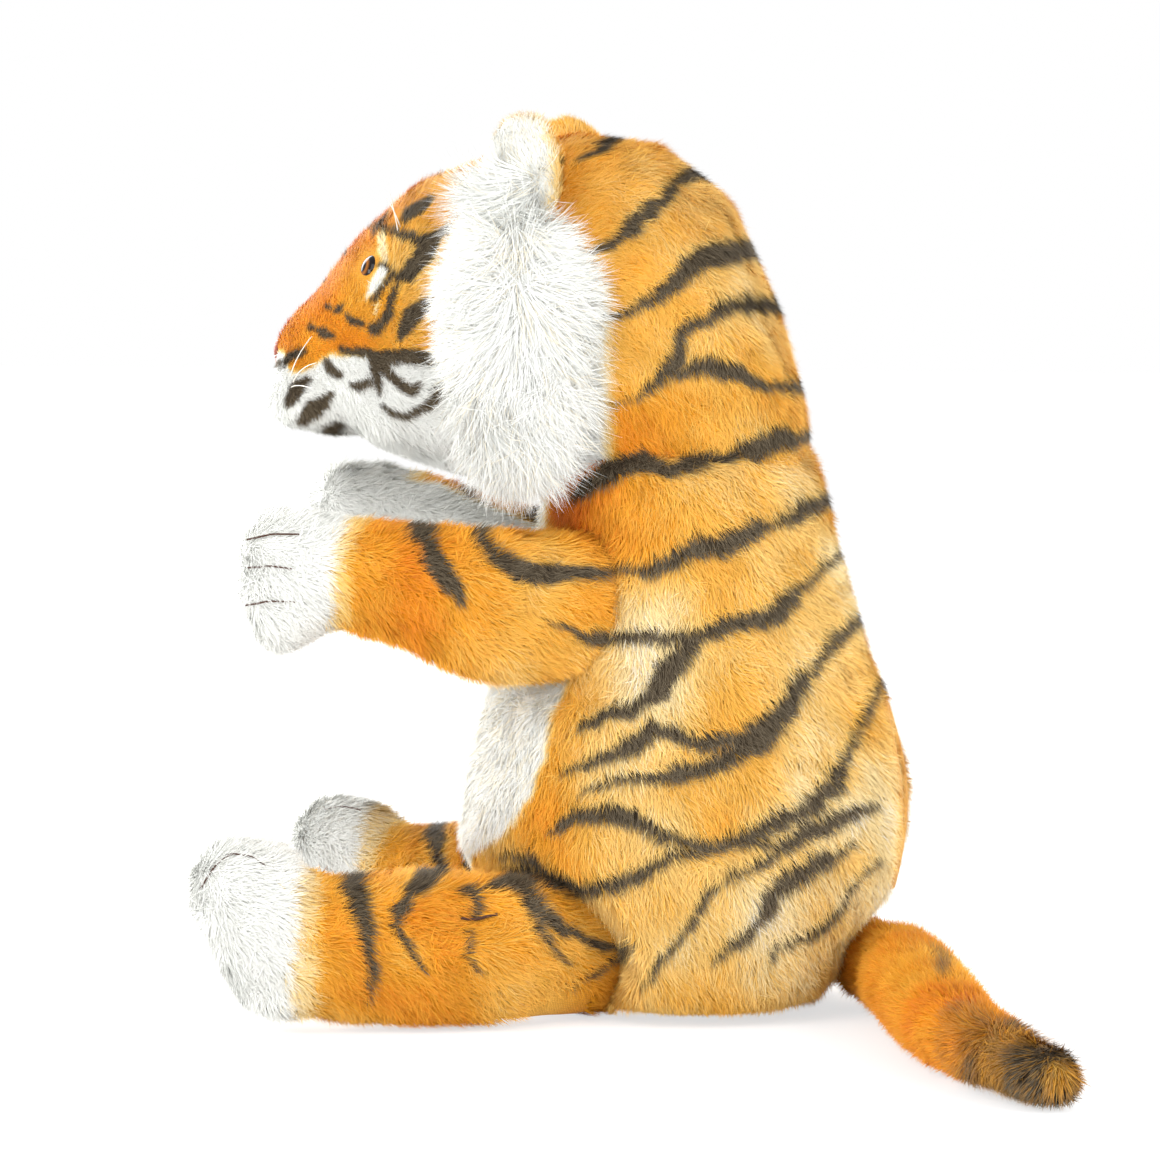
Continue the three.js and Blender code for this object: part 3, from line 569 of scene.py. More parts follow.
# %% Stripes of the flanks and back
BACK_STRIPES = [
    [(-26, 305, 0.7), (-21, 307, 1.4), (-18, 310, 2.5), (-16, 313, 3.2), (-17, 317, 2.9)],
    [(-18, 271, 0.9), (-13, 275, 1.6), (-7, 278, 2.3), (-2, 283, 3.0), (2, 287, 3.0), (7, 291, 2.4),
     (9, 296, 2.2), (12, 300, 3.0), (15, 301, 3.3), (18, 300, 2.1)],
    [(-12, 250, 1.2), (-6, 251, 1.7), (0, 254, 2.1), (7, 258, 2.6), (12, 262, 3.4), (18, 268, 3.9),
     (24, 272, 4.2), (29, 273, 4.1), (33, 274, 3.9), (36, 272, 2.9), (39, 268, 1.4)],
    [(-9, 219, 0.4), (0, 223, 0.9), (5, 227, 2.0), (10, 231, 2.8), (13, 236, 3.0), (15, 242, 2.8),
     (16, 246, 2.3), (21, 248, 2.1), (26, 251, 2.5), (31, 254, 2.6), (36, 255, 2.5), (41, 253, 2.3),
     (46, 251, 1.4)],
    [(10, 231, 1.6), (18, 233, 2.3), (25, 234, 3.7), (31, 232, 3.5), (37, 229, 2.7), (43, 226, 1.9),
     (48, 225, 1.8), (52, 224, 2.6), (55, 223, 1.6)],
    [(-25, 187, 1.6), (-19, 190, 3.6), (-13, 194, 4.2), (-8, 198, 4.2), (-1, 200, 3.8), (5, 199, 3.2),
     (10, 197, 2.6), (17, 199, 3.1), (23, 200, 2.7), (29, 201, 1.6), (35, 203, 3.4), (41, 205, 4.5),
     (47, 207, 4.5), (52, 207, 2.6), (57, 206, 1.5)],
    [(-14, 162, 0.9), (-6, 162, 1.5), (1, 161, 2.1), (7, 163, 2.9), (13, 166, 3.5), (21, 170, 4.3),
     (28, 171, 4.7), (34, 173, 4.6), (39, 176, 3.4), (44, 178, 2.0), (48, 179, 1.7), (52, 180, 2.4),
     (56, 183, 3.2), (60, 184, 3.3), (64, 184, 2.8)],
    [(-24, 144, 0.5), (-19, 139, 1.2), (-14, 138, 2.3), (-6, 138, 2.5), (1, 139, 2.5), (9, 138, 2.5),
     (17, 139, 2.5), (24, 140, 2.8), (32, 143, 3.2), (40, 145, 3.6), (47, 147, 3.9), (51, 150, 3.4),
     (54, 155, 2.2), (58, 158, 1.8), (62, 162, 1.7), (66, 165, 1.9), (69, 166, 1.7)],
    [(20, 137, 2.8), (16, 132, 4.2), (11, 128, 4.5), (9, 122, 4.2), (4, 118, 3.0), (-2, 114, 2.8),
     (-9, 112, 3.0), (-16, 109, 2.2), (-21, 106, 0.8)],
    [(75, 143, 2.3), (72, 141, 2.4), (68, 137, 2.3), (64, 132, 2.0), (59, 126, 1.9), (55, 120, 3.0),
     (52, 114, 4.2), (48, 110, 4.5), (42, 106, 3.6), (35, 105, 2.9), (27, 103, 2.4), (19, 103, 2.4),
     (13, 106, 3.0), (7, 107, 3.8), (0, 102, 3.0), (-8, 98, 2.3), (-16, 94, 1.9), (-26, 91, 0.8)],
    [(48, 108, 4.2), (44, 104, 4.4), (36, 99, 4.2), (26, 95, 3.9), (16, 92, 3.5), (8, 91, 2.3),
     (1, 90, 1.9), (-6, 89, 1.5), (-14, 86, 1.0), (-20, 84, 0.5)],
    [(81, 121, 1.2), (79, 114, 1.5), (75, 103, 1.2), (71, 95, 2.0), (68, 87, 3.6), (62, 81, 3.7),
     (53, 76, 3.7), (44, 72, 3.3), (37, 69, 2.7), (26, 68, 2.1), (16, 69, 2.4), (8, 72, 2.7), (2, 76, 2.9),
     (-6, 78, 3.4), (-13, 77, 3.2), (-21, 76, 2.9), (-26, 72, 2.0), (-31, 70, 0.6)],
    [(82, 79, 2.0), (71, 76, 3.1), (62, 72, 3.5), (54, 67, 3.1), (44, 61, 1.9), (40, 59, 1.1), (34, 56, 1.1),
     (28, 52, 1.3), (25, 48, 1.7), (21, 42, 1.6), (15, 32, 1.6), (7, 21, 1.5), (3, 14, 0.7)],
    [(48, 68, 1.2), (33, 67, 1.7), (23, 65, 1.8), (14, 63, 2.2), (8, 60, 2.6), (1, 56, 3.1), (-6, 53, 3.3),
     (-13, 51, 3.6), (-21, 50, 3.8), (-28, 52, 3.3), (-33, 54, 2.9), (-38, 59, 3.3), (-44, 59, 1.8),
     (-52, 58, 0.9)],
    [(-49, 52, 1.8), (-43, 53, 2.8), (-38, 51, 3.2), (-34, 46, 2.9), (-30, 41, 2.6), (-26, 37, 2.3),
     (-20, 34, 1.8), (-16, 30, 1.6), (-11, 28, 1.6), (-5, 27, 2.0), (-1, 30, 1.3)],
    [(-5, 25, 1.8), (-10, 22, 1.5), (-15, 19, 1.1), (-22, 14, 0.6)],
    [(-33, 41, 1.1), (-31, 35, 1.2), (-27, 29, 1.3), (-23, 24, 0.7)],
    [(76, 65, 1.3), (69, 62, 2.1), (61, 59, 3.7), (53, 53, 4.4), (49, 50, 3.2), (46, 43, 2.0), (42, 37, 2.2),
     (37, 33, 2.3), (31, 29, 2.0), (28, 25, 0.9)],
    [(83, 59, 0.7), (76, 53, 1.3), (72, 44, 1.5), (67, 37, 1.6), (58, 33, 1.6), (50, 30, 1.5), (47, 26, 0.7)],
]
LEG_STRIPES = [
    [(-103, 58, 2.8), (-99, 56, 3.9), (-94, 49, 3.9), (-91, 42, 2.9), (-89, 37, 2.4), (-87, 30, 2.0),
     (-87, 22, 1.6), (-90, 12, 0.6)],
    [(-73, 58, 3.8), (-72, 55, 5.0), (-76, 51, 3.1), (-79, 45, 2.1), (-78, 38, 1.6), (-74, 31, 1.3),
     (-70, 25, 0.7)],
    [(-58, 51, 1.4), (-54, 49, 2.2), (-54, 42, 1.6)],
    [(-55, 37, 1.1), (-54, 30, 1.4), (-52, 24, 0.7)],
]
ARM_STRIPES = [
    [(-83, 188, 1.8), (-81, 182, 2.0), (-78, 177, 2.7), (-73, 175, 3.4), (-69, 168, 3.9), (-65, 162, 3.7),
     (-61, 157, 2.8), (-59, 151, 1.5)],
    [(-61, 186, 1.8), (-57, 180, 2.0), (-54, 174, 2.5), (-49, 169, 2.8), (-42, 165, 3.5), (-35, 162, 3.8),
     (-27, 161, 3.3), (-18, 161, 3.0), (-9, 161, 1.2)],
    [(-29, 145, 0.7), (-23, 142, 1.4), (-17, 138, 2.1), (-8, 139, 2.4)],
]
TOE_STITCHES = [
    [(-134, 172, 0.9), (-126, 174, 0.9), (-116, 174, 0.9)],
    [(-133, 163, 0.9), (-125, 164, 0.9), (-117, 163, 0.9)],
    [(-134, 150, 0.9), (-126, 152, 0.9), (-117, 152, 0.9)],
]
FOOT_STITCHES = [[(-147, 52, 0.8), (-142, 60, 0.8), (-137, 64, 0.8), (-130, 63, 0.8), (-125, 60, 0.8)]]
KNEE_STITCHES = [[(-59, 41, 1.0), (-54, 40, 1.2), (-46, 42, 1.0)]]
print("stripes:", {"flank": len(BACK_STRIPES), "leg": len(LEG_STRIPES), "arm": len(ARM_STRIPES)})

# %% [markdown]
# ## Face
#
# The face has finer strokes than the body, sprayed through a stencil: over and behind the eye, along
# the lip and in rows on the muzzle. The muzzle is white below a wavy edge, given as places along the
# head with a height for each. Pale marks sit round the eye, each with its own shade.

# %% Stripes and marks of the face
FACE_STRIPES = [
    [(-89, 299, 0.9), (-91, 297, 1.5), (-93, 294, 0.9)],
    [(-79, 291, 1.2), (-82, 288, 2.4), (-86, 286, 2.2), (-87, 284, 1)],
    [(-94, 292, 0.5), (-97, 288, 0.7), (-98, 284, 0.7), (-100, 280, 0.5)],
    [(-97, 290, 0.3), (-101, 285, 0.6), (-102, 281, 0.4)],
    [(-99, 282, 0.4), (-94, 281, 0.6), (-90, 280, 1)],
    [(-90, 279, 1), (-84, 278, 1.7), (-79, 277, 2.4), (-74, 278, 2.4), (-69, 281, 1.6)],
    [(-74, 276, 2.3), (-77, 273, 3.3), (-80, 269, 3), (-83, 265, 2.6), (-87, 264, 1.6), (-90, 265, 0.7)],
    [(-96, 268, 0.4), (-93, 268, 0.5), (-91, 266, 0.6)],
    [(-91, 266, 0.5), (-91, 263, 0.5), (-94, 259, 0.4), (-97, 256, 0.6)],
    [(-88, 260, 1), (-89, 257, 1.5), (-90, 252, 1.5), (-93, 248, 1.3), (-95, 246, 1.9), (-98, 245, 1.3)],
    [(-110, 253, 0.6), (-111, 252, 1.3), (-113, 252, 0.6)],
    [(-107, 250, 0.8), (-104, 248, 1.7), (-102, 247, 1.2)],
    [(-117, 253, 0.5), (-115, 253, 0.5)],
    [(-124, 246, 0.6), (-122, 245, 0.6)],
    [(-120, 244, 0.6), (-117, 243, 1.8), (-114, 242, 1)],
    [(-73, 255, 2.3), (-78, 253, 3), (-82, 250, 3.1), (-84, 246, 2.4), (-86, 243, 1)],
    [(-134, 233, 1.2), (-132, 235, 1.4), (-127, 237, 0.9)],
    [(-142, 231, 0.6), (-137, 232, 1)],
    [(-111, 238, 0.5), (-106, 237, 0.9), (-100, 237, 1.3), (-94, 236, 2), (-87, 236, 2.8), (-80, 236, 2.6),
     (-75, 235, 1.6)],
    [(-97, 235, 2.2), (-97, 231, 2.2), (-96, 226, 1.8), (-96, 223, 0.7)],
    [(-94, 233, 2), (-90, 229, 1.8), (-87, 226, 1.7), (-83, 224, 1.7), (-80, 226, 0.9)],
    [(-106, 225, 0.8), (-104, 225, 1.4), (-100, 226, 1.6)],
    [(-117, 233, 0.8), (-115, 230, 1.4), (-112, 229, 1.4)],
    [(-95, 218, 0.6), (-91, 215, 1), (-85, 215, 1.2), (-80, 217, 1.2), (-75, 220, 2), (-70, 224, 2.4)],
    [(-124, 227, 1), (-127, 224, 2.2), (-130, 220, 2), (-131, 218, 0.8)],
    [(-115, 221, 1), (-118, 218, 2.4), (-122, 216, 3), (-125, 213, 1.6), (-128, 211, 0.5)],
    [(-114, 210, 1.2), (-118, 208, 2.1), (-121, 206, 1.8), (-125, 205, 0.7)],
]
MUZZLE_EDGE = [
    (-150, 237), (-140, 237), (-135, 236), (-131, 229), (-127, 230), (-123, 232), (-118, 235), (-110, 237),
    (-87, 236), (-77, 237), (-73, 241), (-62, 250), (-40, 262),
]
PALE_MARKS = [
    ([(-89, 276, 2.4), (-86, 273, 3.3), (-88, 268, 2.4)], 0.50),
    ([(-96, 278, 2), (-95, 274, 2.6), (-93, 270, 1.7)], 0.26),
    ([(-94, 266, 2.4), (-96, 262, 2.6), (-98, 259, 1.6), (-100, 256, 0.5)], 0.02),
    ([(-95, 255, 0.5), (-96, 251, 0.5)], 0.15),
]
print("face:", len(FACE_STRIPES), "dark strokes and", len(PALE_MARKS), "pale marks on each cheek")


# %% [markdown]
# ## Paint by place
#
# Paint is worked out from a point's place alone, so backing and pile agree without any picture. One
# helper gives smooth noise, one tells how deep a point lies inside a stroke, and one lets points wander
# so that edges come out ragged.

# %% Paint helpers
def soft_noise(points, cell, seed):
    """Smooth values from 0 to 1 that change over about one cell, the same in every run."""
    place = points / cell
    low = np.floor(place).astype(np.int64)
    part = place - low
    part = part * part * (3 - 2 * part)
    total = np.zeros(len(points))
    for corner in np.ndindex(2, 2, 2):
        knot = low + np.array(corner)
        mixed = knot[:, 0] * 73856093 ^ knot[:, 1] * 19349663 ^ knot[:, 2] * 83492791 ^ seed * 2654435761
        mixed = (mixed ^ (mixed >> 13)) * 1274126177 & 0xFFFFFFFF
        value = ((mixed ^ (mixed >> 16)) & 0xFFFF) / 0xFFFF
        total += value * np.prod(np.where(corner, part, 1 - part), axis=1)
    return total


def stroke_share(points, strokes, soft=1.3, bolder=0.0):
    """How dark each point is: 1 inside a stroke, easing to 0 over its soft edge."""
    flat = points[:, 1:]
    dark = np.zeros(len(points))
    for stroke in strokes:
        for first, last in zip(stroke[:-1], stroke[1:]):
            start, along = np.array(first[:2]), np.subtract(last[:2], first[:2])
            near = np.flatnonzero(np.all(np.abs(flat - start - along / 2) < np.abs(along) / 2 + 9, axis=1))
            if not len(near):
                continue
            local = flat[near] - start
            share = np.clip(local @ along / (along @ along), 0, 1)
            gap = np.linalg.norm(local - share[:, None] * along, axis=1)
            half = first[2] + share * (last[2] - first[2]) + bolder
            dark[near] = np.maximum(dark[near], ease(half - gap, -soft, soft))
    return dark


def ragged(points, seed, reach=1.5):
    """The same points, wandering a little, so that sprayed edges aren't ruled lines."""
    return points + reach * np.stack([soft_noise(points, 5, seed + k) * 2 - 1 for k in range(3)], axis=1)


print("noise check:", np.round(soft_noise(np.array([[0.0, 0, 0], [3, 4, 5]]), 7, 1), 3))


# %% [markdown]
# ## Nearest panel
#
# Paws, feet and ears are sewn from two cloths. A point of the cover belongs to the white panel if that
# panel is nearer than the striped one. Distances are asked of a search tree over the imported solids, and
# the change is eased over a few millimetres, as the two piles mingle at a seam. On belly and tail the
# share only sets the pile's length; their colours follow lines of their own.

# %% White share of every cloth
def tree_of(nodes):
    points, faces = [], []
    for node in nodes:
        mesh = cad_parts[node].data
        start = len(points)
        points += [v.co.copy() for v in mesh.vertices]
        faces += [[start + i for i in face.vertices] for face in mesh.polygons]
    return BVHTree.FromPolygons(points, faces)


def share_by_panel(thing, white, coloured, soft=3.0, spread=0.0):
    near, far = tree_of(white), tree_of(coloured)
    gaps = np.array([far.find_nearest(v.co)[3] - near.find_nearest(v.co)[3] for v in thing.data.vertices])
    return ease(gaps / MM + spread, -soft, soft)


PANELS = {
    "torso_cloth": (["belly_panel"], ["left_flank", "right_flank", "seat_panel"]),
    "tail_cloth": (["tail_tip"], ["tail_cover"]),
}
for side in SIDES:
    PANELS[f"{side}_arm_cloth"] = ([f"{side}_paw"], [f"{side}_sleeve"])
    PANELS[f"{side}_leg_cloth"] = ([f"{side}_foot"], [f"{side}_leg_cover"])
    PANELS[f"{side}_ear_cloth"] = ([f"{side}_ear_lining"], [f"{side}_ear"])
EAR_SPREAD = 3.5
panel_share = {
    name: share_by_panel(cloths[name], *panels, spread=EAR_SPREAD if "ear" in name else 0.0)
    for name, panels in PANELS.items()
}
print("white share:", {name: round(float(share.mean()), 2) for name, share in panel_share.items()})

# %% [markdown]
# ## Coats
#
# Each coat says, for any point, how orange the pile is (0 white, 1 deep orange) and how dark. The
# flanks are golden, and the pile deepens to orange round the neck, chest and limbs, with slow clouds of
# lighter and darker dye.

# %% Coats of body, limbs and tail
def clouds(points, seed):
    return 0.6 * soft_noise(points, 38, seed) + 0.4 * soft_noise(points, 15, seed + 9) - 0.5


BELLY_EDGE = [
    (40, -75), (56, -63), (68, -47), (82, -37), (96, -32), (110, -30), (122, -26), (150, -28), (178, -30),
    (196, 4),
]


def torso_coat(points, white):
    x, y, z = np.abs(points[:, 0]), points[:, 1], points[:, 2]
    gold = 0.45 + 0.62 * clouds(points, 3) - 0.10 * ease(y, 25, 60)
    gold += 0.42 * ease(z, 140, 178) * ease(-y, -40, 5)
    gold += 0.16 * ease(-y, -10, 40) + 0.10 * ease(-z, -34, -8)
    wander = 3 * (soft_noise(points, 6, 31) - 0.5)
    front = ease(np.interp(z, *zip(*BELLY_EDGE)) + wander - y, -2, 2)
    belly = front * (1 - ease(z, 132, 150) * ease(x, 20, 32))
    return gold * (1 - 0.95 * belly), stroke_share(ragged(points, 21), BACK_STRIPES) * (1 - belly)


arm_points = mesh_points(cloths["left_arm_cloth"]) / MM
ARM_LINE = np.polyfit(arm_points[:, 1], arm_points[:, 0], 3)


def arm_coat(points, white):
    inner = np.polyval(ARM_LINE, points[:, 1]) - np.abs(points[:, 0])
    inside = ease(inner + 2 * soft_noise(points, 7, 33), 9, 13) * ease(-points[:, 1], 30, 50)
    white = np.maximum(white, inside)
    gold = 0.72 + 0.60 * clouds(points, 4) - 0.14 * ease(-points[:, 2], -146, -126)
    return gold * (1 - white), stroke_share(ragged(points, 22), ARM_STRIPES) * (1 - white)


def leg_coat(points, white):
    knee = np.exp(-((points[:, 1] - KNEE[0]) ** 2 / 400 + (points[:, 2] - KNEE[1]) ** 2 / 160))
    gold = 0.68 + 0.55 * clouds(points, 5) + 0.10 * knee
    return gold * (1 - white), stroke_share(ragged(points, 23), LEG_STRIPES + BACK_STRIPES) * (1 - white)


def tail_coat(points, tip):
    reach = points[:, 0] + 18 * (soft_noise(points, 15, 61) - 0.5)
    patches = ease(soft_noise(points, 11, 63), 0.28, 0.60)
    gold = 0.70 + 0.50 * clouds(points, 6) + 0.10 * ease(reach, 110, 140)
    spot = stroke_share(points, [[(104, 36, 2), (112, 33, 2.4)]])
    return gold, np.maximum(ease(reach, 134, 154) * (0.50 + 0.42 * patches), 0.8 * spot)


print("belly edge:", len(BELLY_EDGE), "points from", BELLY_EDGE[0][0], "to", BELLY_EDGE[-1][0], "mm high")

# %% [markdown]
# ## Coat of the head
#
# The head takes its white from the muzzle's edge, its pale marks and strokes from the face, and the
# body's own stripes over the nape. Marks on the forehead are looked at from the front: each point there
# is how far to the side and how high, and both sides mirror each other.

# %% Coats of head and ears, and plain white
FOREHEAD = [
    [(1.5, 258, 0.6), (5, 262, 1.2), (10, 262, 0.7)], [(1.5, 268, 0.6), (6, 272, 1.3), (12, 271, 0.7)],
    [(1.5, 279, 0.6), (7, 283, 1.4), (14, 281, 0.7)], [(0, 287, 0.8), (0, 296, 1.1), (0, 304, 0.6)],
]


def head_coat(points, white):
    y, z = points[:, 1], points[:, 2]
    wander = ragged(points, 24, 1.0)
    edge = np.interp(wander[:, 1], *zip(*MUZZLE_EDGE))
    muzzle = ease(edge - wander[:, 2], -1.5, 2.0) * ease(-y, 6, 16)
    gold = 0.60 + 0.50 * clouds(points, 7) - 0.08 * ease(y, -30, 20)
    gold += 0.22 * ease(-y, 72, 105) + 0.30 * ease(-z, -234, -210) * ease(-y, -45, 0)
    base = gold * (1 - muzzle)
    for strokes, level in PALE_MARKS:
        share = stroke_share(points, [strokes], 0.9) * (np.abs(points[:, 0]) > 8)
        base = base * (1 - share) + level * share
    brow = ease(z, 258, 264)
    beside = ease(np.abs(points[:, 0]), 3 + 9 * brow, 5 + 11 * brow)
    face = stroke_share(wander, FACE_STRIPES, 0.9, 0.5) * beside
    front = np.stack([y, np.abs(wander[:, 0]), wander[:, 2]], axis=1)
    face = np.maximum(face, stroke_share(front, FOREHEAD, 0.9) * ease(-y, 52, 64))
    return base, np.maximum(face, stroke_share(ragged(points, 21), BACK_STRIPES))


def ear_coat(points, white):
    gold = 0.50 + 0.3 * clouds(points, 8)
    return gold * (1 - 0.95 * white), stroke_share(points, BACK_STRIPES[:1]) * (1 - white)


def white_coat(points, white):
    return 0.02 * soft_noise(points, 12, 71), np.zeros(len(points))


print("coats: torso, arm, leg, tail, head, ear, white")

# %% [markdown]
# ## Materials of the plush
#
# A strand is full coloured in the middle, pale at its tip and darker and warmer at its root, which is
# painted shade deep in the pile. That is one node group, so that short pile, long ruff and backing all
# take the same dyes. It reads what each strand carries in its own colour attribute: how orange it is, how
# dark, its tone, which is chance mixed with painted shade between tufts, and how far along the strand a point
# lies.

# %% Dye group
DYES = [
    (0 / 7, (243, 244, 240)), (1 / 7, (251, 241, 216)), (2 / 7, (254, 228, 166)), (3 / 7, (253, 209, 118)),
    (4 / 7, (251, 190, 76)), (5 / 7, (248, 170, 38)), (6 / 7, (242, 148, 8)), (7 / 7, (230, 120, 0)),
]
dye_group, given = new_group(
    "Plush dye", {"Dye": "Color", "Along": "Float", "Root shade": "Float", "Tip paleness": "Float"},
    {"Colour": "Color"},
)
parts = put(dye_group, "ShaderNodeSeparateColor", {"Color": given["Dye"]}).outputs
coat = ramp_of(dye_group, parts["Red"], [(place, screen_colour(*dye)) for place, dye in DYES])
spray = ramp_of(dye_group, given["Along"], [
    (0.0, screen_colour(62, 51, 38)), (0.55, screen_colour(82, 71, 56)), (1.0, screen_colour(132, 119, 98)),
])
pale_tip = blended(dye_group, 0.55, coat, screen_colour(255, 243, 214))
tipwards = sum_of(dye_group, "POWER", given["Along"], 2.0)
tip_share = sum_of(dye_group, "MULTIPLY", tipwards, given["Tip paleness"])
coat = blended(dye_group, tip_share, coat, pale_tip)
coat = blended(dye_group, parts["Green"], coat, spray)
# Painted shade: a strand darkens towards its root, as if shade fell deep in the pile, and white pile less so.
rootwards = sum_of(dye_group, "SUBTRACT", 1.0, given["Along"])
rootwards = sum_of(dye_group, "MULTIPLY", rootwards, given["Root shade"])
fuller = sum_of(dye_group, "MINIMUM", sum_of(dye_group, "ADD", parts["Red"], 0.4), 1.0)
rootwards = sum_of(dye_group, "MULTIPLY", rootwards, fuller)
depth = sum_of(dye_group, "SUBTRACT", 1.0, rootwards)
# Tone brightens or darkens a whole strand: chance, mixed with painted shade between tufts, less on white
# pile.
tone_and_tuft_shade = sum_of(dye_group, "MULTIPLY_ADD", parts["Blue"], 0.26, 0.80)
tone_and_tuft_shade = sum_of(dye_group, "MULTIPLY_ADD", sum_of(dye_group, "SUBTRACT", tone_and_tuft_shade, 1.0), fuller, 1.0)
depth = sum_of(dye_group, "MULTIPLY", depth, tone_and_tuft_shade)
shade = put(dye_group, "ShaderNodeCombineColor", {"Red": depth, "Green": depth, "Blue": depth}).outputs[0]
coat = blended(dye_group, 1.0, coat, shade, "MULTIPLY")
put(dye_group, "NodeGroupOutput", {"Colour": coat})
print("dye group:", len(dye_group.nodes), "nodes")


# %% [markdown]
# ## Finishes made from the dye
#
# Pile is smoother towards its tips, so its roughness falls along the strand. The backing under it is a
# weave: two sets of waves that cross, with fibre noise, as one more node group that gives a colour and
# a height. The colour is darker where the weave is low, which is painted shade in its hollows. Hand
# bag, tape, thread and nose are the same weave in their own colours.

# %% Pile finish
def pile_finish(name, root_shade, tip_paleness, roughness=0.62):
    material, tree, shader = new_finish(name, roughness, specular=0.07)
    carried = put(tree, "ShaderNodeAttribute", attribute_name="dye").outputs
    dyed = put(tree, "ShaderNodeGroup", node_tree=dye_group)
    tree.links.new(carried["Color"], dyed.inputs["Dye"])
    tree.links.new(carried["Alpha"], dyed.inputs["Along"])
    # How much painted shade darkens the strand towards its root.
    dyed.inputs["Root shade"].default_value = root_shade
    dyed.inputs["Tip paleness"].default_value = tip_paleness
    tree.links.new(dyed.outputs["Colour"], shader.inputs["Base Color"])
    gloss = sum_of(tree, "MULTIPLY_ADD", carried["Alpha"], -0.12, roughness + 0.06)
    tree.links.new(gloss, shader.inputs["Roughness"])
    return material


print("pile finish reads the dye of each strand")

# %% Woven finish
weave_group, given = new_group(
    "Woven backing", {"Colour": "Color", "Threads": "Float"}, {"Colour": "Color", "Height": "Float"},
)
place = put(weave_group, "ShaderNodeTexCoord").outputs["Object"]
warp, weft = (
    put(weave_group, "ShaderNodeTexWave", {"Vector": place, "Scale": given["Threads"], "Distortion": 1.2},
        bands_direction=way).outputs["Fac"]
    for way in "ZY"
)
cross = sum_of(weave_group, "MULTIPLY", warp, weft)
fibre = put(weave_group, "ShaderNodeTexNoise", {"Vector": place, "Scale": 900.0, "Detail": 2.0})
height = sum_of(weave_group, "ADD", cross, fibre.outputs["Fac"])
# Painted shade: low parts of the weave are darkened, as if shade fell in its hollows.
dark = blended(weave_group, 1.0, given["Colour"], (0.62, 0.60, 0.57, 1), "MULTIPLY")
woven = blended(weave_group, height, dark, given["Colour"])
put(weave_group, "NodeGroupOutput", {"Colour": woven, "Height": height})


def cloth_finish(name, colour=None, threads=420.0, roughness=0.85):
    """Backing under the pile reads the dye of the pile and its painted root shade; other cloths have a colour
    of their own.
    """
    material, tree, shader = new_finish(name, roughness, sheen=0.1, specular=0.2)
    weave = put(tree, "ShaderNodeGroup", node_tree=weave_group)
    weave.inputs["Threads"].default_value = threads
    if colour is None:
        carried = put(tree, "ShaderNodeAttribute", attribute_name="dye").outputs
        # Painted shade: the backing is darkened like a strand close to its root, as if in shade under the
        # pile.
        dyed = put(tree, "ShaderNodeGroup", {"Dye": carried["Color"], "Along": 0.15, "Root shade": 0.25},
                   node_tree=dye_group)
        tree.links.new(dyed.outputs["Colour"], weave.inputs["Colour"])
    else:
        weave.inputs["Colour"].default_value = colour
    tree.links.new(weave.outputs["Colour"], shader.inputs["Base Color"])
    bump = put(tree, "ShaderNodeBump", {
        "Height": weave.outputs["Height"], "Strength": 0.4, "Distance": 0.0004,
    })
    tree.links.new(bump.outputs["Normal"], shader.inputs["Normal"])
    return material


# Numbers: painted shade at the roots, then how pale the tips are, then roughness where given.
PILE = pile_finish("striped_plush_pile", 0.28, 0.13)
LONG_PILE = pile_finish("ruff_long_pile", 0.40, 0.0, 0.55)
BACKING = cloth_finish("plush_backing")
BAG_CLOTH = cloth_finish("hand_bag_cloth", screen_colour(205, 128, 58))
TAPE = cloth_finish("binding_tape", screen_colour(222, 164, 88), 700.0)
THREAD = cloth_finish("brown_thread", screen_colour(84, 56, 44), 2400.0)
NOSE_CLOTH = cloth_finish("nose_satin", screen_colour(168, 100, 84), 1500.0, 0.45)
print("finishes:", len(bpy.data.materials))

# %% [markdown]
# ## Growing the pile
#
# Pile could be hair particles, but hair isn't a mesh and wouldn't leave Blender with the rest. Here a
# short strand is one thin triangle, and a long one a blade of three faces that narrows to a point. Roots
# are scattered evenly over the cloth, the comb lays the strands down, and slow noise sets neighbours in
# the same direction, which makes the soft tufts that brushed plush has. All strands of a piece are made
# at once with arrays. Light that enters real pile is scattered and comes out all round, so strands are
# shaded mostly with the direction of the cloth under them, and those on an underside are turned up
# towards the light.

# %% Blades
DYE_LEVELS, DARK_LEVELS, TONE_AND_SHADE_LEVELS = 8, 4, 4
MOST_TRIANGLES = 190000
FLOOR_CLEARANCE = 0.4


def unit(vectors):
    return vectors / np.maximum(np.linalg.norm(vectors, axis=1, keepdims=True), 1e-9)


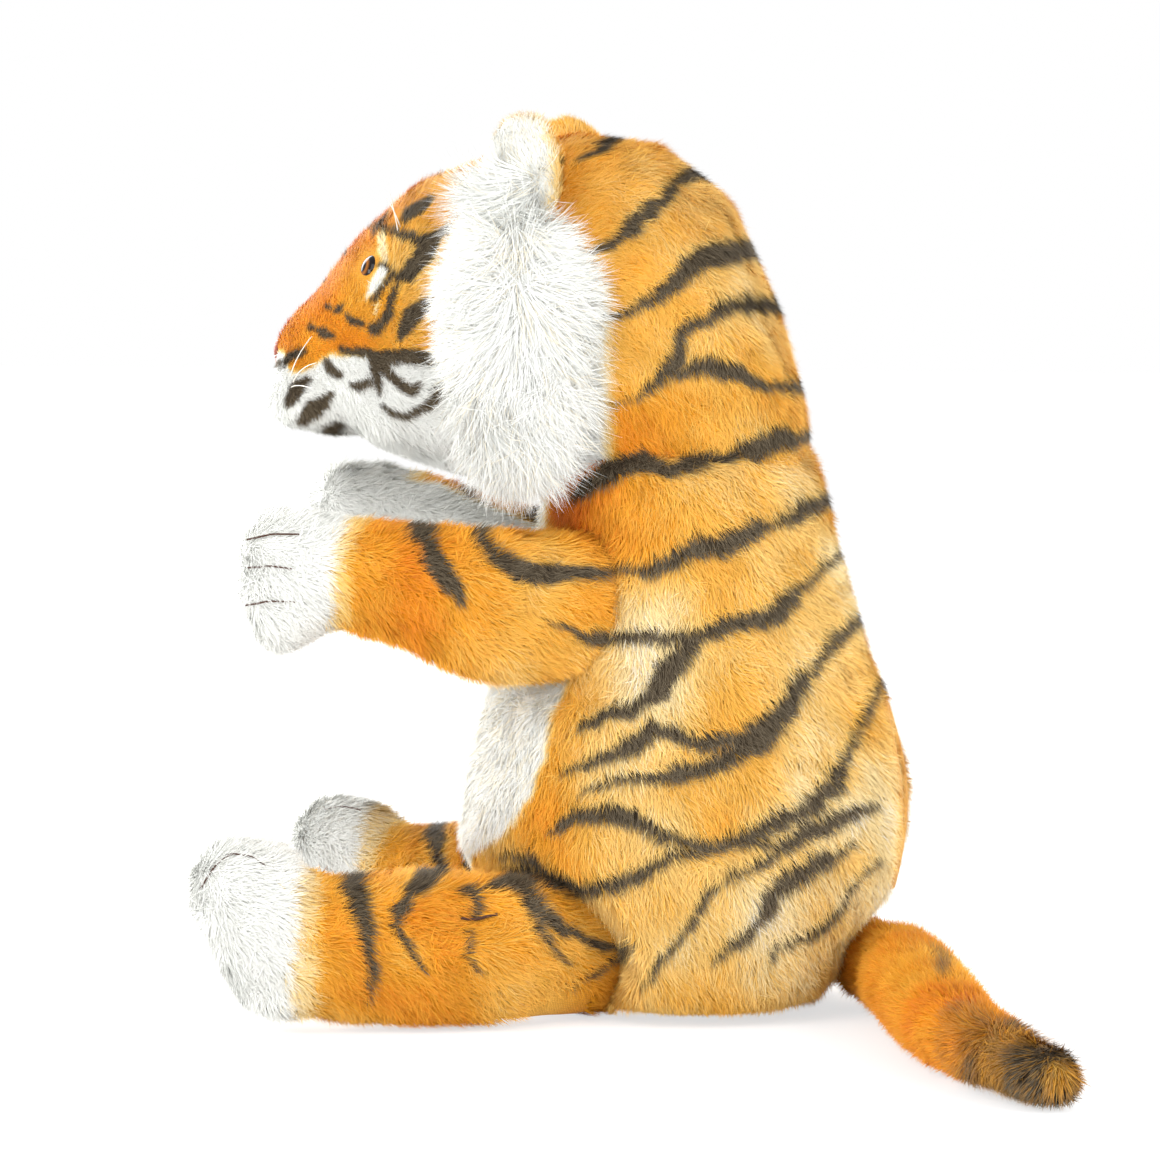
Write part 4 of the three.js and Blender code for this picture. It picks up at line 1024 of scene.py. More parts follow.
def blade_mesh(name, path, across, out, widths, dyes, softness, under):
    """path: strand, point, xyz in mm, where the last point is the tip; dyes: three levels for a strand."""
    count, points = path.shape[:2]
    rings = points - 1
    corner_count = 2 * rings + 1
    sideways = across[:, None, :] * widths[None, :, None] / 2
    corners = np.empty((count, corner_count, 3), np.float32)
    corners[:, 0:-1:2] = path[:, :-1] - sideways
    corners[:, 1:-1:2] = path[:, :-1] + sideways
    corners[:, -1] = path[:, -1]
    corners[:, :, 2] = np.maximum(corners[:, :, 2], FLOOR_CLEARANCE)
    loops = [k for r in range(rings - 1) for k in (2 * r, 2 * r + 1, 2 * r + 3, 2 * r + 2)]
    loops += [2 * rings - 2, 2 * rings - 1, 2 * rings]
    loop_total = len(loops)
    all_loops = (np.arange(count)[:, None] * corner_count + np.array(loops)).ravel()
    starts = np.append(np.arange(rings - 1) * 4, (rings - 1) * 4)
    all_starts = (np.arange(count)[:, None] * loop_total + starts).ravel()
    mesh = bpy.data.meshes.new(name)
    mesh.vertices.add(count * corner_count)
    mesh.vertices.foreach_set("co", (corners * MM).ravel())
    mesh.loops.add(count * loop_total)
    mesh.loops.foreach_set("vertex_index", all_loops.astype(np.int32))
    mesh.polygons.add(count * rings)
    mesh.polygons.foreach_set("loop_start", all_starts.astype(np.int32))
    mesh.update(calc_edges=True)
    mesh.shade_smooth()
    along = np.append(np.repeat(np.arange(rings) / rings, 2), 1.0)
    levels = np.array([DYE_LEVELS - 1, DARK_LEVELS - 1, TONE_AND_SHADE_LEVELS - 1])
    carried = np.empty((count, corner_count, 4), np.float32)
    carried[:, :, :3] = (dyes / levels)[:, None, :]
    carried[:, :, 3] = along[None, :]
    attribute = mesh.attributes.new("dye", "FLOAT_COLOR", "POINT")
    attribute.data.foreach_set("color", carried.ravel())
    column = (dyes[:, 0] * DARK_LEVELS + dyes[:, 1]) * TONE_AND_SHADE_LEVELS + dyes[:, 2]
    used, column = np.unique(column, return_inverse=True)
    edge = np.append(np.tile([-0.42, 0.42], rings), 0.0)
    across_map = (column.reshape(-1, 1) + 0.5 + edge[None, :]) / len(used)
    chart = np.stack([across_map, np.broadcast_to(0.01 + 0.98 * along, across_map.shape)], axis=2)
    chart = chart.reshape(-1, 2)[all_loops]
    mesh.uv_layers.new(name="OFBake").data.foreach_set("uv", chart.astype(np.float32).ravel())
    facing = unit(np.cross(across, path[:, -1] - path[:, 0]))
    soft = softness * out + (1 - softness) * facing
    soft[:, 2] *= np.where(soft[:, 2] < 0, under, 1.0)
    soft = unit(soft)
    mesh.normals_split_custom_set_from_vertices(np.repeat(soft, corner_count, axis=0).tolist())
    return new_thing(name, mesh)


print("levels of orange, dark and tone:", DYE_LEVELS, DARK_LEVELS, TONE_AND_SHADE_LEVELS)

# %% [markdown]
# ## From root to tip
#
# For each strand a triangle of the cloth is drawn by its area and a place in it by chance. The strand
# leans out by a few degrees, its dye is read from the coat near its middle, and chance gives it its own
# length and tone. Slow noise also darkens neighbouring strands together, which is painted shade between
# tufts. Levels are rounded up or down by chance too, so that few dyes make soft edges.

# %% Roots and combing
ROOT_SINK = 0.4
DYE_READ_AT = 0.55
LEAN_SPREAD, LEAN_CLOUD = 7, 16
SPIN_SPREAD = 0.12
TIP_WIDTH = 0.72


def cloth_arrays(cloth, share):
    """Triangles of a cloth: corner places in mm, corner normals and corner white shares."""
    mesh = cloth.data
    mesh.calc_loop_triangles()
    corners = np.empty(len(mesh.loop_triangles) * 3, np.int32)
    mesh.loop_triangles.foreach_get("vertices", corners)
    corners = corners.reshape(-1, 3)
    normals = np.empty(len(mesh.vertices) * 3, np.float32)
    mesh.vertices.foreach_get("normal", normals)
    return mesh_points(cloth)[corners] / MM, normals.reshape(-1, 3)[corners].astype(float), share[corners]


def levels_of(value, count, dither):
    return np.clip(np.floor(value * (count - 1) + dither), 0, count - 1).astype(int)


def grow_pile(
    name, cloth, share, coat, comb, length, density, seed, keep=None, width=0.5, rise=20, lay=20, tuft=0.7,
    tuft_size=6, stray=0.30, uneven=0.22, segments=1, finish=None, softness=0.72, under=0.3,
):
    """Density is in strands for a square millimetre; rise and lay are angles at root and tip."""
    rng = np.random.default_rng(seed)
    corners, normals, shares = cloth_arrays(cloth, share)
    if keep is not None:
        wanted = keep(corners.mean(axis=1))
        corners, normals, shares = corners[wanted], normals[wanted], shares[wanted]
    area = np.linalg.norm(np.cross(corners[:, 1] - corners[:, 0], corners[:, 2] - corners[:, 0]), axis=1) / 2
    count = min(int(area.sum() * density), MOST_TRIANGLES // (2 * segments - 1))
    chosen = rng.choice(len(area), count, p=area / area.sum())
    first, second = rng.random((2, count))
    folded = first + second > 1
    first, second = np.where(folded, 1 - first, first), np.where(folded, 1 - second, second)
    weights = np.stack([1 - first - second, first, second], axis=1)[:, :, None]
    roots = (corners[chosen] * weights).sum(axis=1)
    out = unit((normals[chosen] * weights).sum(axis=1))
    white = (shares[chosen] * weights[:, :, 0]).sum(axis=1)
    flow = unit(comb(roots, out))
    flow += tuft * np.stack([soft_noise(roots, tuft_size, seed + k) * 2 - 1 for k in (11, 12, 13)], axis=1)
    flow += stray * rng.normal(size=(count, 3))
    flow = unit(flow - out * (flow * out).sum(axis=1, keepdims=True))
    long = (length(roots, white) * rng.uniform(0.95 - uneven, 0.95 + uneven, count))[:, None]
    steps = np.linspace(rise, lay, segments)
    lean = rng.normal(0, LEAN_SPREAD, count) + LEAN_CLOUD * (soft_noise(roots, 9, seed + 17) - 0.5)
    path = [roots - ROOT_SINK * out]
    for step in steps:
        angle = np.radians(step + lean)[:, None]
        path.append(path[-1] + long / segments * (np.cos(angle) * flow + np.sin(angle) * out))
    path = np.stack(path, axis=1)
    spin = rng.normal(0, SPIN_SPREAD, count)[:, None]
    across = unit(np.cross(flow, out)) * np.cos(spin) + out * np.sin(spin)
    widths = width * np.linspace(1, TIP_WIDTH, segments)
    base, dark = coat(path[:, 0] + DYE_READ_AT * (path[:, -1] - path[:, 0]), white)
    # Tone: chance for each strand, plus slow noise that is painted shade between tufts.
    tone_and_tuft_shade = 0.30 + 0.40 * rng.random(count) + 0.8 * (soft_noise(roots, 8, seed + 19) - 0.5)
    dyes = np.stack([
        levels_of(base, DYE_LEVELS, rng.random(count)),
        levels_of(dark, DARK_LEVELS, rng.random(count)),
        levels_of(tone_and_tuft_shade, TONE_AND_SHADE_LEVELS, rng.random(count)),
    ], axis=1)
    pile = blade_mesh(name, path, across, out, widths, dyes, softness, under)
    wear(pile, finish or PILE)
    print(f"{name}: {count} strands on {area.sum() / 100:.0f} cm2")
    return pile


print("a value between two levels:", levels_of(np.full(4, 0.5), DYE_LEVELS, np.array([0.1, 0.4, 0.6, 0.9])))


# %% [markdown]
# ## Dyeing the backing
#
# Between strands the backing shows through, so it is dyed like the pile that stands on it, with the
# same painted shade as the roots of the strands. It could have a plain colour, but parted pile would
# then show a foreign line along every stripe.

# %% Dye of a cover
BACKING_TONE = 0.4
BACKING_ALONG = 0.2


def dye_cloth(cloth, share, coat):
    """The backing carries the same dye, one value for each of its points."""
    points = mesh_points(cloth) / MM
    base, dark = coat(points, share)
    rest = (np.full(len(points), level) for level in (BACKING_TONE, BACKING_ALONG))
    carried = np.stack([base, dark, *rest], axis=1)
    attribute = cloth.data.attributes.new("dye", "FLOAT_COLOR", "POINT")
    attribute.data.foreach_set("color", np.clip(carried, 0, 1).astype(np.float32).ravel())
    wear(cloth, BACKING)


print("backing finish:", BACKING.name)

# %% [markdown]
# ## Hidden cloth
#
# Where a limb runs into the body, neither cloth shows. Strands there would only cost time, so a patch of
# cloth grows none if it lies well inside another cover. A rim is kept, because it shows when the
# limb swings.

# %% Find the hidden patches
HIDDEN_DEPTH = 9.0


def tree_of_cloth(cloth):
    mesh = cloth.data
    return BVHTree.FromPolygons([v.co for v in mesh.vertices], [list(f.vertices) for f in mesh.polygons])


cover_trees = {
    name: tree_of_cloth(cloth) for name, cloth in cloths.items() if "ruff" not in name and "ear" not in name
}


def shown_patches(name):
    """A test for patch centres in mm: true where no other cover swallows them."""
    others = [tree for other, tree in cover_trees.items() if other != name]

    def shown(centres):
        keep = np.ones(len(centres), bool)
        for i, centre in enumerate(centres):
            point = Vector(centre) * MM
            for tree in others:
                place, facing, _, gap = tree.find_nearest(point, HIDDEN_DEPTH * 8 * MM)
                if place is not None and gap > HIDDEN_DEPTH * MM and (point - place).dot(facing) < 0:
                    keep[i] = False
                    break
        return keep

    return shown


print("search trees:", len(cover_trees))

# %% [markdown]
# ## Combing the body
#
# The coat is brushed back from the nose over the head, then down the back and flanks. On arms, legs and
# tail it is brushed towards the body, which makes paws look full and lets the strands cover the seams
# at shoulder and hip. On the seat it is pressed flat by the puppet's own weight.

# %% Comb directions
NOSE_TIP = np.array([0.0, -142.0, 236.0])


def one_way(points, x, y, z):
    """The same direction at every point, where x may differ from point to point."""
    return np.stack([np.broadcast_to(np.float64(part), len(points)) for part in (x, y, z)], axis=1)


def comb_torso(points, out):
    return one_way(points, -0.25 * np.sign(points[:, 0]), 0.35, -1)


def comb_head(points, out):
    back = unit((points - NOSE_TIP) * [-0.3, 1, 1])
    down = np.tile([0.0, 0.25, -1.0], (len(points), 1))
    share = ease(points[:, 1], -50, 35)[:, None]
    return back * (1 - share) + down * share


def comb_limb(points, out):
    return one_way(points, np.where(points[:, 0] > 0, -0.5, 0.0), 0.8, -0.4)


def comb_ear(points, out):
    return one_way(points, 0.2 * np.sign(points[:, 0]), -0.25, 1.0)


def comb_tail(points, out):
    tip = ease(points[:, 0], 140, 165)[:, None]
    swirl = np.stack([soft_noise(points, 9, 97 + k) * 2 - 1 for k in range(3)], axis=1)
    return (1 - tip) * np.array([-0.86, -0.48, -0.10]) + tip * (np.array([-0.30, 0.25, -0.80]) + 1.2 * swirl)


print("combs: torso, head, limbs, ears, tail")

# %% [markdown]
# ## Pile of the torso
#
# The torso alone carries over 300,000 strands, so it is grown in four pieces that each stay light: left
# and right, below and above. Pile is about 8 mm long, and shorter under the seat, where it is pressed.

# %% Torso in four pieces
BODY_DENSITY = 3.6
torso = cloths["torso_cloth"]
torso_white = panel_share["torso_cloth"]
torso_shown = shown_patches("torso_cloth")
dye_cloth(torso, torso_white, torso_coat)


def torso_length(points, white):
    seat = ease(-points[:, 2], -12, -3)
    return (8.2 - 1.0 * white) * (1 - 0.6 * seat)


# side, lowest and highest root
BODY_QUARTERS = {
    "left_lower": (1, -10, 100), "left_upper": (1, 100, 300),
    "right_lower": (-1, -10, 100), "right_upper": (-1, 100, 300),
}
torso_piles = []
for part, (word, (side, low, high)) in enumerate(BODY_QUARTERS.items()):
    wanted = lambda c, side=side, low=low, high=high: (
        (c[:, 0] * side >= 0) & (c[:, 2] >= low) & (c[:, 2] < high) & torso_shown(c)
    )
    torso_piles.append(grow_pile(
        f"{word}_body_pile", torso, torso_white, torso_coat, comb_torso, torso_length, BODY_DENSITY,
        100 + part, wanted,
    ))

# %% [markdown]
# ## Pile of the head
#
# The face is shaved shorter than the body, most of all on the muzzle and round the eyes, so that eyes
# and nose stand clear. No strand grows where an eye sits. The pile is finer here, and strands under the
# muzzle are lit as if they faced sideways, because light comes through them from the front.

# %% Head in two pieces
head = cloths["head_cloth"]
head_white = np.zeros(len(head.data.vertices))
head_shown = shown_patches("head_cloth")
dye_cloth(head, head_white, head_coat)

HEAD_DENSITY = 4.6
EYE_RADIUS = 6.0
EYE_INSET = 6.5 * MM
EYE_AXIS = Vector((0.532, -0.788, 0.309))
EYE_MOVE = Vector((0.4, 2.8, 0.0)) * MM
eye_low, eye_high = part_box("left_eye")
eye_middle = Vector((eye_high.x - EYE_INSET, eye_low.y + EYE_INSET, (eye_low.z + eye_high.z) / 2)) + EYE_MOVE


def eye_gap(points):
    middle = np.array(eye_middle + EYE_AXIS * 2 * MM) / MM
    return np.linalg.norm(np.abs(points) * [1, 0, 0] + points * [0, 1, 1] - middle, axis=1)


def clear_of_eye(points):
    return eye_gap(points) > EYE_RADIUS + 0.3


def head_length(points, white):
    muzzle = ease(-points[:, 1], 92, 112)
    nape = ease(points[:, 1], -40, 10)
    return (5.6 - 1.6 * muzzle + 1.6 * nape) * (0.45 + 0.55 * ease(eye_gap(points), 6, 13))


head_piles = []
for part, (word, side) in enumerate(SIDES.items()):
    wanted = lambda c, side=side: (c[:, 0] * side >= 0) & head_shown(c) & clear_of_eye(c)
    head_piles.append(grow_pile(
        f"{word}_head_pile", head, head_white, head_coat, comb_head, head_length, HEAD_DENSITY, 120 + part,
        wanted, width=0.42, rise=18, lay=18, under=0.0,
    ))

# %% [markdown]
# ## Pile of arms, legs and tail
#
# Limbs carry the same pile as the body. Where a stitch draws in the toes, the foot or the knee, it also
# holds the pile down, so strands are shorter there.

# %% Limbs and tail
def limb_length(points, white):
    """Shorter where a stitch pulls the pile down."""
    held = stroke_share(points, TOE_STITCHES + FOOT_STITCHES + KNEE_STITCHES)
    return (7.6 - 0.6 * white) * (1 - 0.6 * held)


limb_piles = {}
for part, side in enumerate(SIDES):
    for limb, coat in (("arm", arm_coat), ("leg", leg_coat)):
        name = f"{side}_{limb}_cloth"
        cloth, share = cloths[name], panel_share[name]
        dye_cloth(cloth, share, coat)
        limb_piles[f"{side}_{limb}"] = grow_pile(
            f"{side}_{limb}_pile", cloth, share, coat, comb_limb, limb_length, BODY_DENSITY, 140 + part,
            shown_patches(name),
        )
tail = cloths["tail_cloth"]
dye_cloth(tail, panel_share["tail_cloth"], tail_coat)
limb_piles["tail"] = grow_pile(
    "tail_pile", tail, panel_share["tail_cloth"], tail_coat, comb_tail,
    lambda points, white: 8.5 - 1.5 * white, BODY_DENSITY, 160, shown_patches("tail_cloth"),
)

# %% [markdown]
# ## Ruff
#
# The cheeks carry a ruff of long white pile that spreads like a fan: forward over the cheek, straight
# down below and back over the neck. Long strands need more segments to bend, and they are finer, more
# uneven and less orderly than the short pile.

# %% Ruff of long strands
RUFF_HEART = (-40.0, 262.0)
RUFF_DENSITY = 6.0
LONG_STRANDS = {"width": 0.25, "segments": 3, "finish": LONG_PILE, "softness": 0.8}


def comb_ruff(points, out):
    across = (points[:, 1] - RUFF_HEART[0]) / 30
    high = points[:, 2] - RUFF_HEART[1]
    high = np.sign(high) * np.maximum(np.abs(high) - 12, 0) / 26
    swirl = 0.5 * np.stack([soft_noise(points, 16, 90 + k) * 2 - 1 for k in range(3)], axis=1)
    return swirl + np.stack([-0.25 * np.sign(points[:, 0]), across, np.minimum(high, 0.1) - 0.2], axis=1)


def ruff_length(points, white):
    rim = ease(np.abs(points[:, 1] - RUFF_HEART[0]), 16, 28)
    low = ease(-points[:, 2], -240, -208)
    return 14 - 4 * rim * (1 - low) + 6 * low + 5 * soft_noise(points, 14, 81)


def ruff_patch(centres):
    """No roots on the hind rim, least of all next to the ear and at the bottom."""
    y, z = centres[:, 1], centres[:, 2]
    return y < -16 - 0.45 * np.maximum(245 - z, 0) - 0.55 * np.maximum(z - 246, 0)


ruff_piles = {}
for part, side in enumerate(SIDES):
    cloth = cloths[f"{side}_ruff_cloth"]
    share = np.ones(len(cloth.data.vertices))
    dye_cloth(cloth, share, white_coat)
    ruff_piles[side] = grow_pile(
        f"{side}_ruff_pile", cloth, share, white_coat, comb_ruff, ruff_length, RUFF_DENSITY,
        180 + part, ruff_patch, rise=30, lay=3, tuft=0.55, tuft_size=5, stray=0.40, uneven=0.38,
        **LONG_STRANDS,
    )

# %% [markdown]
# ## Ears
#
# The ears have short pile, golden behind and white inside. A long white tuft grows from the lower half
# of the lining and spills over the forehead. The lining's own cloth is only stretched to root that tuft
# and is then thrown away.

# %% Ear pile and tufts
def comb_tuft(points, out):
    low = ease(-points[:, 2], -304, -286)
    return np.stack([0.1 * np.sign(points[:, 0]), 0.2 * low - 1, -0.1 - 0.4 * low], axis=1)


def tuft_length(points, white):
    return 10 + 14 * ease(-points[:, 2], -304, -290)


EAR_DENSITY = 5.0
TUFT_DENSITY = 9.0
TUFT_TOP = 301
ear_piles = {}
for part, side in enumerate(SIDES):
    name = f"{side}_ear_cloth"
    cloth, share = cloths[name], panel_share[name]
    dye_cloth(cloth, share, ear_coat)
    ear_piles[side] = grow_pile(
        f"{side}_ear_pile", cloth, share, ear_coat, comb_ear,
        lambda points, white: 4.2 + 0.8 * white, EAR_DENSITY, 200 + part, width=0.40,
    )
    lining = stretch_cloth(f"{side}_ear_lining_cloth", [f"{side}_ear_lining"], 2.5, 1.0)
    ear_piles[side + "_tuft"] = grow_pile(
        f"{side}_ear_tuft_pile", lining, np.ones(len(lining.data.vertices)), white_coat, comb_tuft,
        tuft_length, TUFT_DENSITY, 210 + part, lambda c: c[:, 2] < TUFT_TOP, rise=30, lay=2, tuft=0.7,
        tuft_size=5, stray=0.34, uneven=0.34, **LONG_STRANDS,
    )
    bpy.data.objects.remove(lining)

# %% [markdown]
# ## Eyes
#
# Safety eyes are moulded domes on a shank that is pushed through the cover and locked by a washer. Each
# starts as a ball that is flattened, cut off behind and turned to look forward and out. Its colour is
# painted by angle from the middle of the dome: black pupil, amber iris and dark edge, all polished.

# %% Eye finish
EYE_PLASTIC, tree, shader = new_finish("eye_dome", 0.10, specular=0.22)
place = put(tree, "ShaderNodeSeparateXYZ", {0: put(tree, "ShaderNodeTexCoord").outputs["Object"]}).outputs
folded = put(tree, "ShaderNodeCombineXYZ", {
    "X": sum_of(tree, "ABSOLUTE", place["X"]), "Y": place["Y"], "Z": place["Z"],
}).outputs[0]
arm = put(tree, "ShaderNodeVectorMath", {0: folded, 1: eye_middle}, operation="SUBTRACT").outputs[0]
arm = put(tree, "ShaderNodeVectorMath", {0: arm}, operation="NORMALIZE").outputs[0]
facing = put(tree, "ShaderNodeVectorMath", {0: arm, 1: EYE_AXIS}, operation="DOT_PRODUCT").outputs["Value"]
iris = ramp_of(tree, facing, [
    (0.0, screen_colour(14, 10, 8)), (0.74, screen_colour(20, 13, 8)), (0.78, screen_colour(96, 54, 14)),
    (0.86, screen_colour(170, 104, 26)), (0.91, screen_colour(140, 78, 18)), (0.93, screen_colour(10, 8, 7)),
    (1.0, screen_colour(6, 5, 5)),
])
rays = put(tree, "ShaderNodeTexNoise", {"Vector": arm, "Scale": 22.0, "Detail": 3.0}).outputs["Fac"]
iris = blended(tree, rays, blended(tree, 1.0, iris, (0.45, 0.42, 0.40, 1), "MULTIPLY"), iris)
tree.links.new(iris, shader.inputs["Base Color"])
print("eye at", [round(v / MM, 1) for v in eye_middle], "mm")

# %% Eye domes
EYE_FLATTENING = 0.85
EYE_BACK = 0.0015
EYE_EDGE = math.radians(40)
eyes = {}
for side, sign in SIDES.items():
    bpy.ops.object.select_all(action="DESELECT")
    bpy.ops.mesh.primitive_uv_sphere_add(segments=48, ring_count=32, radius=EYE_RADIUS * MM)
    dome = bpy.context.object
    dome.name = dome.data.name = f"{side}_eye_dome"
    bpy.ops.object.mode_set(mode="EDIT")
    bpy.ops.mesh.select_all(action="SELECT")
    bpy.ops.transform.resize(value=(1, 1, EYE_FLATTENING))
    bpy.ops.mesh.bisect(plane_co=(0, 0, -EYE_BACK), plane_no=(0, 0, 1), use_fill=True, clear_inner=True)
    bpy.ops.object.mode_set(mode="OBJECT")
    mirror = Vector((sign, 1, 1))
    dome.rotation_euler = (EYE_AXIS * mirror).to_track_quat("Z", "Y").to_euler()
    dome.location = eye_middle * mirror
    bpy.ops.object.transform_apply(location=True, rotation=True, scale=True)
    bpy.ops.object.shade_smooth_by_angle(angle=EYE_EDGE)
    wear(dome, EYE_PLASTIC)
    eyes[side] = dome
print("eyes:", {side: len(dome.data.polygons) for side, dome in eyes.items()})

# %% [markdown]
# ## Nose
#
# The nose is a small padded cushion of satin, sewn on over the seam of the muzzle. It starts as a ball
# that is pressed flat, then narrows downwards, and a stitch on each side sinks a nostril.

# %% Nose cushion
NOSE_HALF_SIZES = (0.0092, 0.0024, 0.0062)
NOSE_SINK = 2.8 * MM
nose_low, nose_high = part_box("nose")
nose_middle = (nose_low + nose_high) / 2 + Vector((0, NOSE_SINK, 0))
nose = squeezed_ball("nose_cushion", nose_middle, NOSE_HALF_SIZES, 40)
nose_height = nose_middle.z / MM


def nose_form(x, y, z):
    narrow = 0.45 + 0.55 * ease(z, nose_height - 6, nose_height + 2)
    nostril = np.exp(-(((np.abs(x) - 4.6) / 2.2) ** 2 + ((z - nose_height + 0.5) / 2.0) ** 2))
    return x * narrow, y + 1.3 * nostril, z


reshape(nose, nose_form)
bpy.ops.object.shade_smooth()
wear(nose, NOSE_CLOTH)
print("nose:", [round(v / MM, 1) for v in nose.dimensions], "mm")

# %% [markdown]
# ## Threads
#
# Toes are drawn in by three long stitches of brown thread on each paw, and one curved stitch on each
# foot. The knee is tacked to its own stuffing, which pulls a dimple, and the mouth is one more stitch.
# All of these are drawn as lines with a round section, and a thread's points are found by looking at
# the cover from the side and standing a little above it, in the pile.

# %% Lines with a round section
def round_line(name, lines, finish, closed=False):
    """lines: lists of (place in metres, radius in mm)."""
    curve = bpy.data.curves.new(name, "CURVE")
    curve.dimensions = "3D"
    curve.bevel_depth = MM
    curve.bevel_resolution = 2
    curve.use_fill_caps = not closed
    for line in lines:
        spline = curve.splines.new("NURBS")
        spline.points.add(len(line) - 1)
        for point, (place, radius) in zip(spline.points, line):
            point.co = (*place, 1)
            point.radius = radius
        spline.order_u = min(4, len(line))
        spline.use_endpoint_u = not closed
        spline.use_cyclic_u = closed
        spline.resolution_u = 6
    pick(new_thing(name, curve))
    bpy.ops.object.convert(target="MESH")
    thing = bpy.context.object
    wear(thing, finish)
    return thing


ASIDE = 0.3
PAST_COVER = 0.23


def on_cover(tree, start, aim, above):
    """The place where a look from the start meets the cover, or the nearest one if it passes by."""
    place, facing, _, _ = tree.ray_cast(Vector(start), Vector(aim))
    if place is None:
        place, facing, _, _ = tree.find_nearest(Vector(start) + Vector(aim) * PAST_COVER)
    return place + facing * above * MM


def stitch(name, cover, sign, strokes, above, radius):
    lines = []
    for stroke in strokes:
        ends = np.array([point[:2] for point in stroke])
        steps = np.linspace(0, len(ends) - 1, 4 * len(ends))
        ys, zs = (np.interp(steps, range(len(ends)), column) for column in ends.T)
        lines.append([
            (on_cover(cover_trees[cover], (sign * ASIDE, y * MM, z * MM), (-sign, 0, 0), above), radius)
            for y, z in zip(ys, zs)
        ])
    return round_line(name, lines, THREAD)


print("line helper: round sections of", THREAD.name)

# %% Stitches
# limb, strokes, height above the cover and radius of the thread
STITCHES = {
    "toe_stitches": ("arm", TOE_STITCHES, 1.5, 0.32),
    "foot_stitch": ("leg", FOOT_STITCHES, 0.9, 0.32),
    "knee_tack": ("leg", KNEE_STITCHES, 1.6, 0.5),
}
MOUTH = [[(0, 229), (0, 222), (0, 215)], [(0, 215), (4, 212), (9, 210)], [(0, 215), (-4, 212), (-9, 210)]]
MOUTH_ABOVE, MOUTH_RADIUS = 1.2, 0.6
threads = {}
for side, sign in SIDES.items():
    for word, (limb, strokes, above, radius) in STITCHES.items():
        thread = stitch(f"{side}_{word}", f"{side}_{limb}_cloth", sign, strokes, above, radius)
        threads[f"{side}_{word}"] = (thread, f"{side}_{limb}")
face_tree = cover_trees["head_cloth"]
threads["mouth_stitch"] = (round_line("mouth_stitch", [
    [(on_cover(face_tree, (x * MM, -ASIDE, z * MM), (0, 1, 0), MOUTH_ABOVE), MOUTH_RADIUS) for x, z in line]
    for line in MOUTH
], THREAD), "head")
print("threads:", list(threads))

# %% [markdown]
# ## Whiskers
#
# Whiskers are drawn nylon strands, knotted inside the cover and pulled through it: three on each side
# of the muzzle and two on each brow. They thin towards the tip.

# %% Nylon strands
NYLON = cloudy_plastic("whisker_nylon_strand", 0.28, 0.5, 260.0, (222, 210, 188), (250, 248, 242))
STRAND_RADII = (0.24, 0.20, 0.07)
WHISKERS = [
    [(27.5, -129, 226), (40, -124, 232), (57, -114, 234)],
    [(28, -130, 228), (36, -126, 236), (46, -118, 243)],
    [(26.5, -130, 224), (40, -125, 226), (56, -116, 225)],
]
BROW_STRANDS = [
    [(34, -89, 279), (36, -90, 288), (38, -92.5, 297)],
    [(33, -88, 280), (33.5, -90, 287), (34, -94, 293)],
]
whiskers = {}
for side, sign in SIDES.items():
    for word, lines in (("whisker", WHISKERS), ("brow", BROW_STRANDS)):
        whiskers[f"{side}_{word}"] = round_line(f"{side}_{word}_strands", [
            [(Vector((sign * x, y, z)) * MM, radius) for (x, y, z), radius in zip(line, STRAND_RADII)]
            for line in lines
        ], NYLON)
print("whiskers:", list(whiskers))

# %% [markdown]
# ## Tape
#
# A cut in plush frays, so the slit is bound with a rolled tape. Its line runs round the slit on the
# cover, found by looking at the back from behind.

# %% Tape round the slit
TAPE_RADIUS = 1.7
TAPE_ABOVE = 1.2
TAPE_LAP = 0.0015
BEHIND = 0.2
rim = []
for turn in np.linspace(0, 2 * math.pi, 36, endpoint=False):
    across = (SLIT_HALF_WIDTH + TAPE_LAP) * math.cos(turn)
    height = slit_middle.z + (slit_half_height + TAPE_LAP) * math.sin(turn)
    place = on_cover(cover_trees["torso_cloth"], (across, BEHIND, height), (0, -1, 0), TAPE_ABOVE)
    rim.append((place, TAPE_RADIUS))
tape = round_line("slit_tape", [rim], TAPE, closed=True)
print("tape:", round(sum((a - b).length for (a, _), (b, _) in zip(rim, rim[1:] + rim[:1])) / MM), "mm long")

# %% [markdown]
# ## Hand the pieces to the frame
#
# Pieces move with a body of the imported model. The torso and head covers and their pile are not
# attached to a body; their placing is baked into their points.

# %% Rides and replaced nodes
for thing in [torso, *torso_piles]:
    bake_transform(thing)
for thing in [head, *head_piles]:
    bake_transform(thing)
wear(bag, BAG_CLOTH)
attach(bag, "torso")
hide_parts("hand_lining")
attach(tape, "torso")
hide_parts("slit_binding")
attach(nose, "head")
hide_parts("nose")
for thing, body in threads.values():
    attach(thing, body)
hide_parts("left_flank", "right_flank", "belly_panel", "seat_panel", "seat_filling", "neck_collar")
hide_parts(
    "head_cover", "head_filling", "left_whisker_pad", "right_whisker_pad", "chin", "head_finger_tube",
)
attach(tail, "tail")
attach(limb_piles["tail"], "tail")
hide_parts("tail_cover", "tail_tip", "tail_filling")

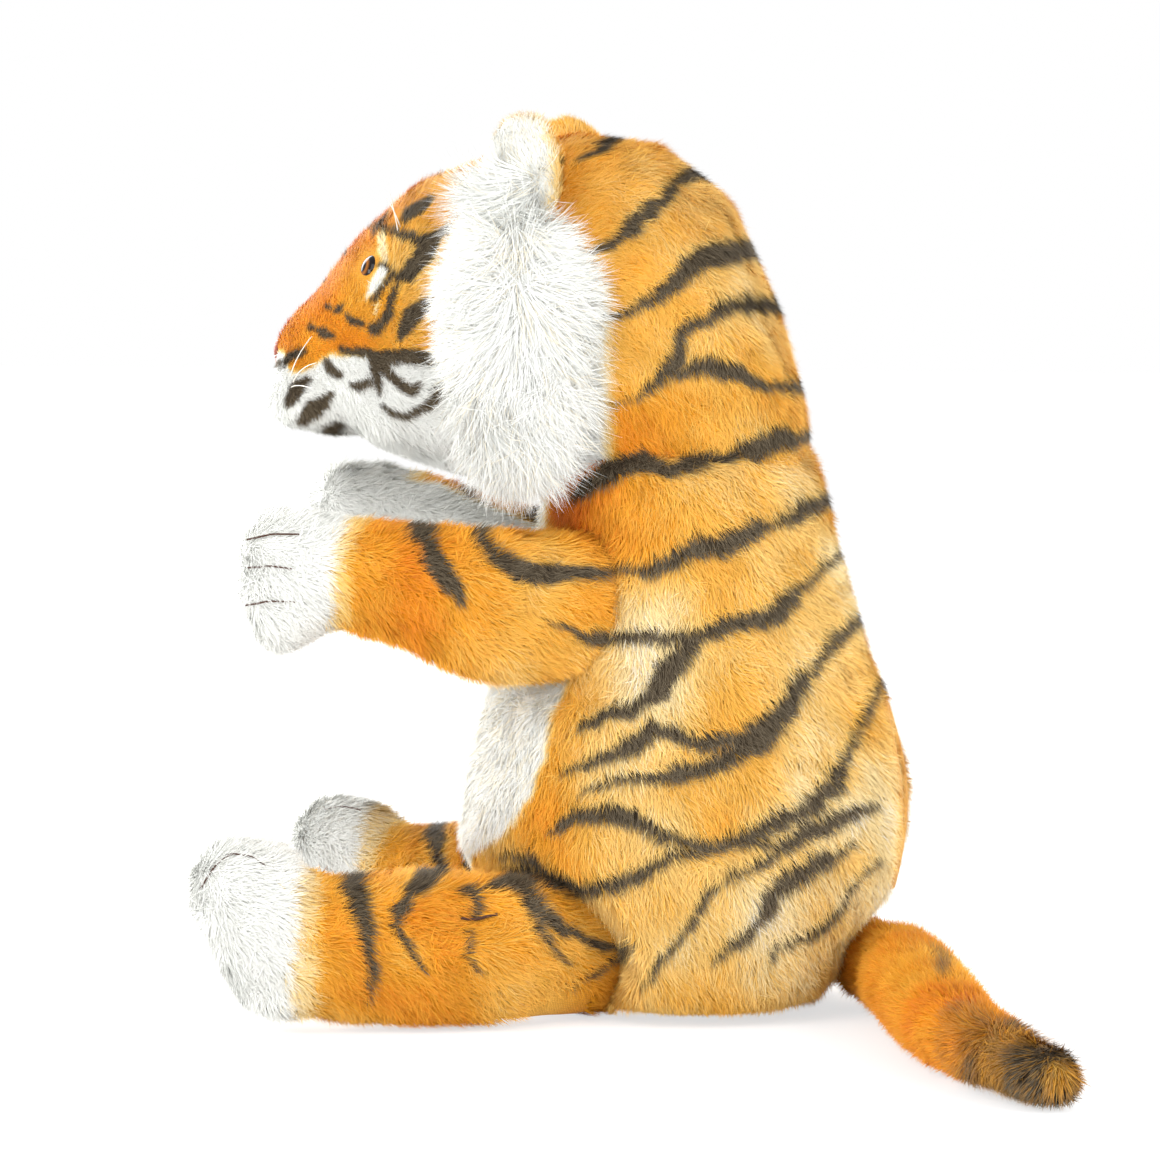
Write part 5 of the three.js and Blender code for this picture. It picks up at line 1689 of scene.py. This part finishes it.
# %% Limbs, ruff, ears, eyes and whiskers
for side in SIDES:
    for limb, nodes in (("arm", ("sleeve", "paw", "paw_filling", "arm_finger_tube")),
                        ("leg", ("leg_cover", "foot", "leg_filling"))):
        cloth = cloths[f"{side}_{limb}_cloth"]
        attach(cloth, f"{side}_{limb}")
        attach(limb_piles[f"{side}_{limb}"], f"{side}_{limb}")
        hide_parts(*[f"{side}_{node}" for node in nodes])
    for thing in (
        cloths[f"{side}_ruff_cloth"], cloths[f"{side}_ear_cloth"], ruff_piles[side], ear_piles[side],
        ear_piles[side + "_tuft"],
    ):
        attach(thing, "head")
    for word, node in (("whisker", "whiskers"), ("brow", "brow_whisker")):
        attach(whiskers[f"{side}_{word}"], "head")
        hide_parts(f"{side}_{node}")
    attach(eyes[side], "head")
    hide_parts(f"{side}_eye")
    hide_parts(f"{side}_ruff")
    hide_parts(f"{side}_ear", f"{side}_ear_lining")

# %% [markdown]
# ## Finish slots
#
# The record names each material of the part. A table lists each piece under the slot of the material that
# it shows. The eye washers stay as packed and only get a moulded finish.

# %% Washers and slots
WASHER = cloudy_plastic("washer_moulding", 0.5, 0.3, 320.0, (205, 203, 196), (232, 231, 226))
for side in SIDES:
    wear(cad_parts[f"{side}_eye_washer"], WASHER)
SLOTS = {
    "striped_plush": [torso, head, tail, *torso_piles, *head_piles, *limb_piles.values()],
    "white_plush": list(ruff_piles.values()),
    "lining_cloth": [bag, tape, *(thing for thing, _ in threads.values())],
    "nose_cloth": [nose],
    "eye_plastic": list(eyes.values()),
    "whisker_nylon": list(whiskers.values()),
}
for side in SIDES:
    SLOTS["striped_plush"] += [cloths[f"{side}_{word}_cloth"] for word in ("arm", "leg", "ear")]
    SLOTS["striped_plush"] += [ear_piles[side]]
    SLOTS["white_plush"] += [cloths[f"{side}_ruff_cloth"], ear_piles[side + "_tuft"]]

# %% [markdown]
# ## Sizes
#
# The box round the dressed model is printed in millimetres.

# %% Print the size of the dressed model
low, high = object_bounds()
print("size in mm:", [round((b - a) / MM) for a, b in zip(low, high)])
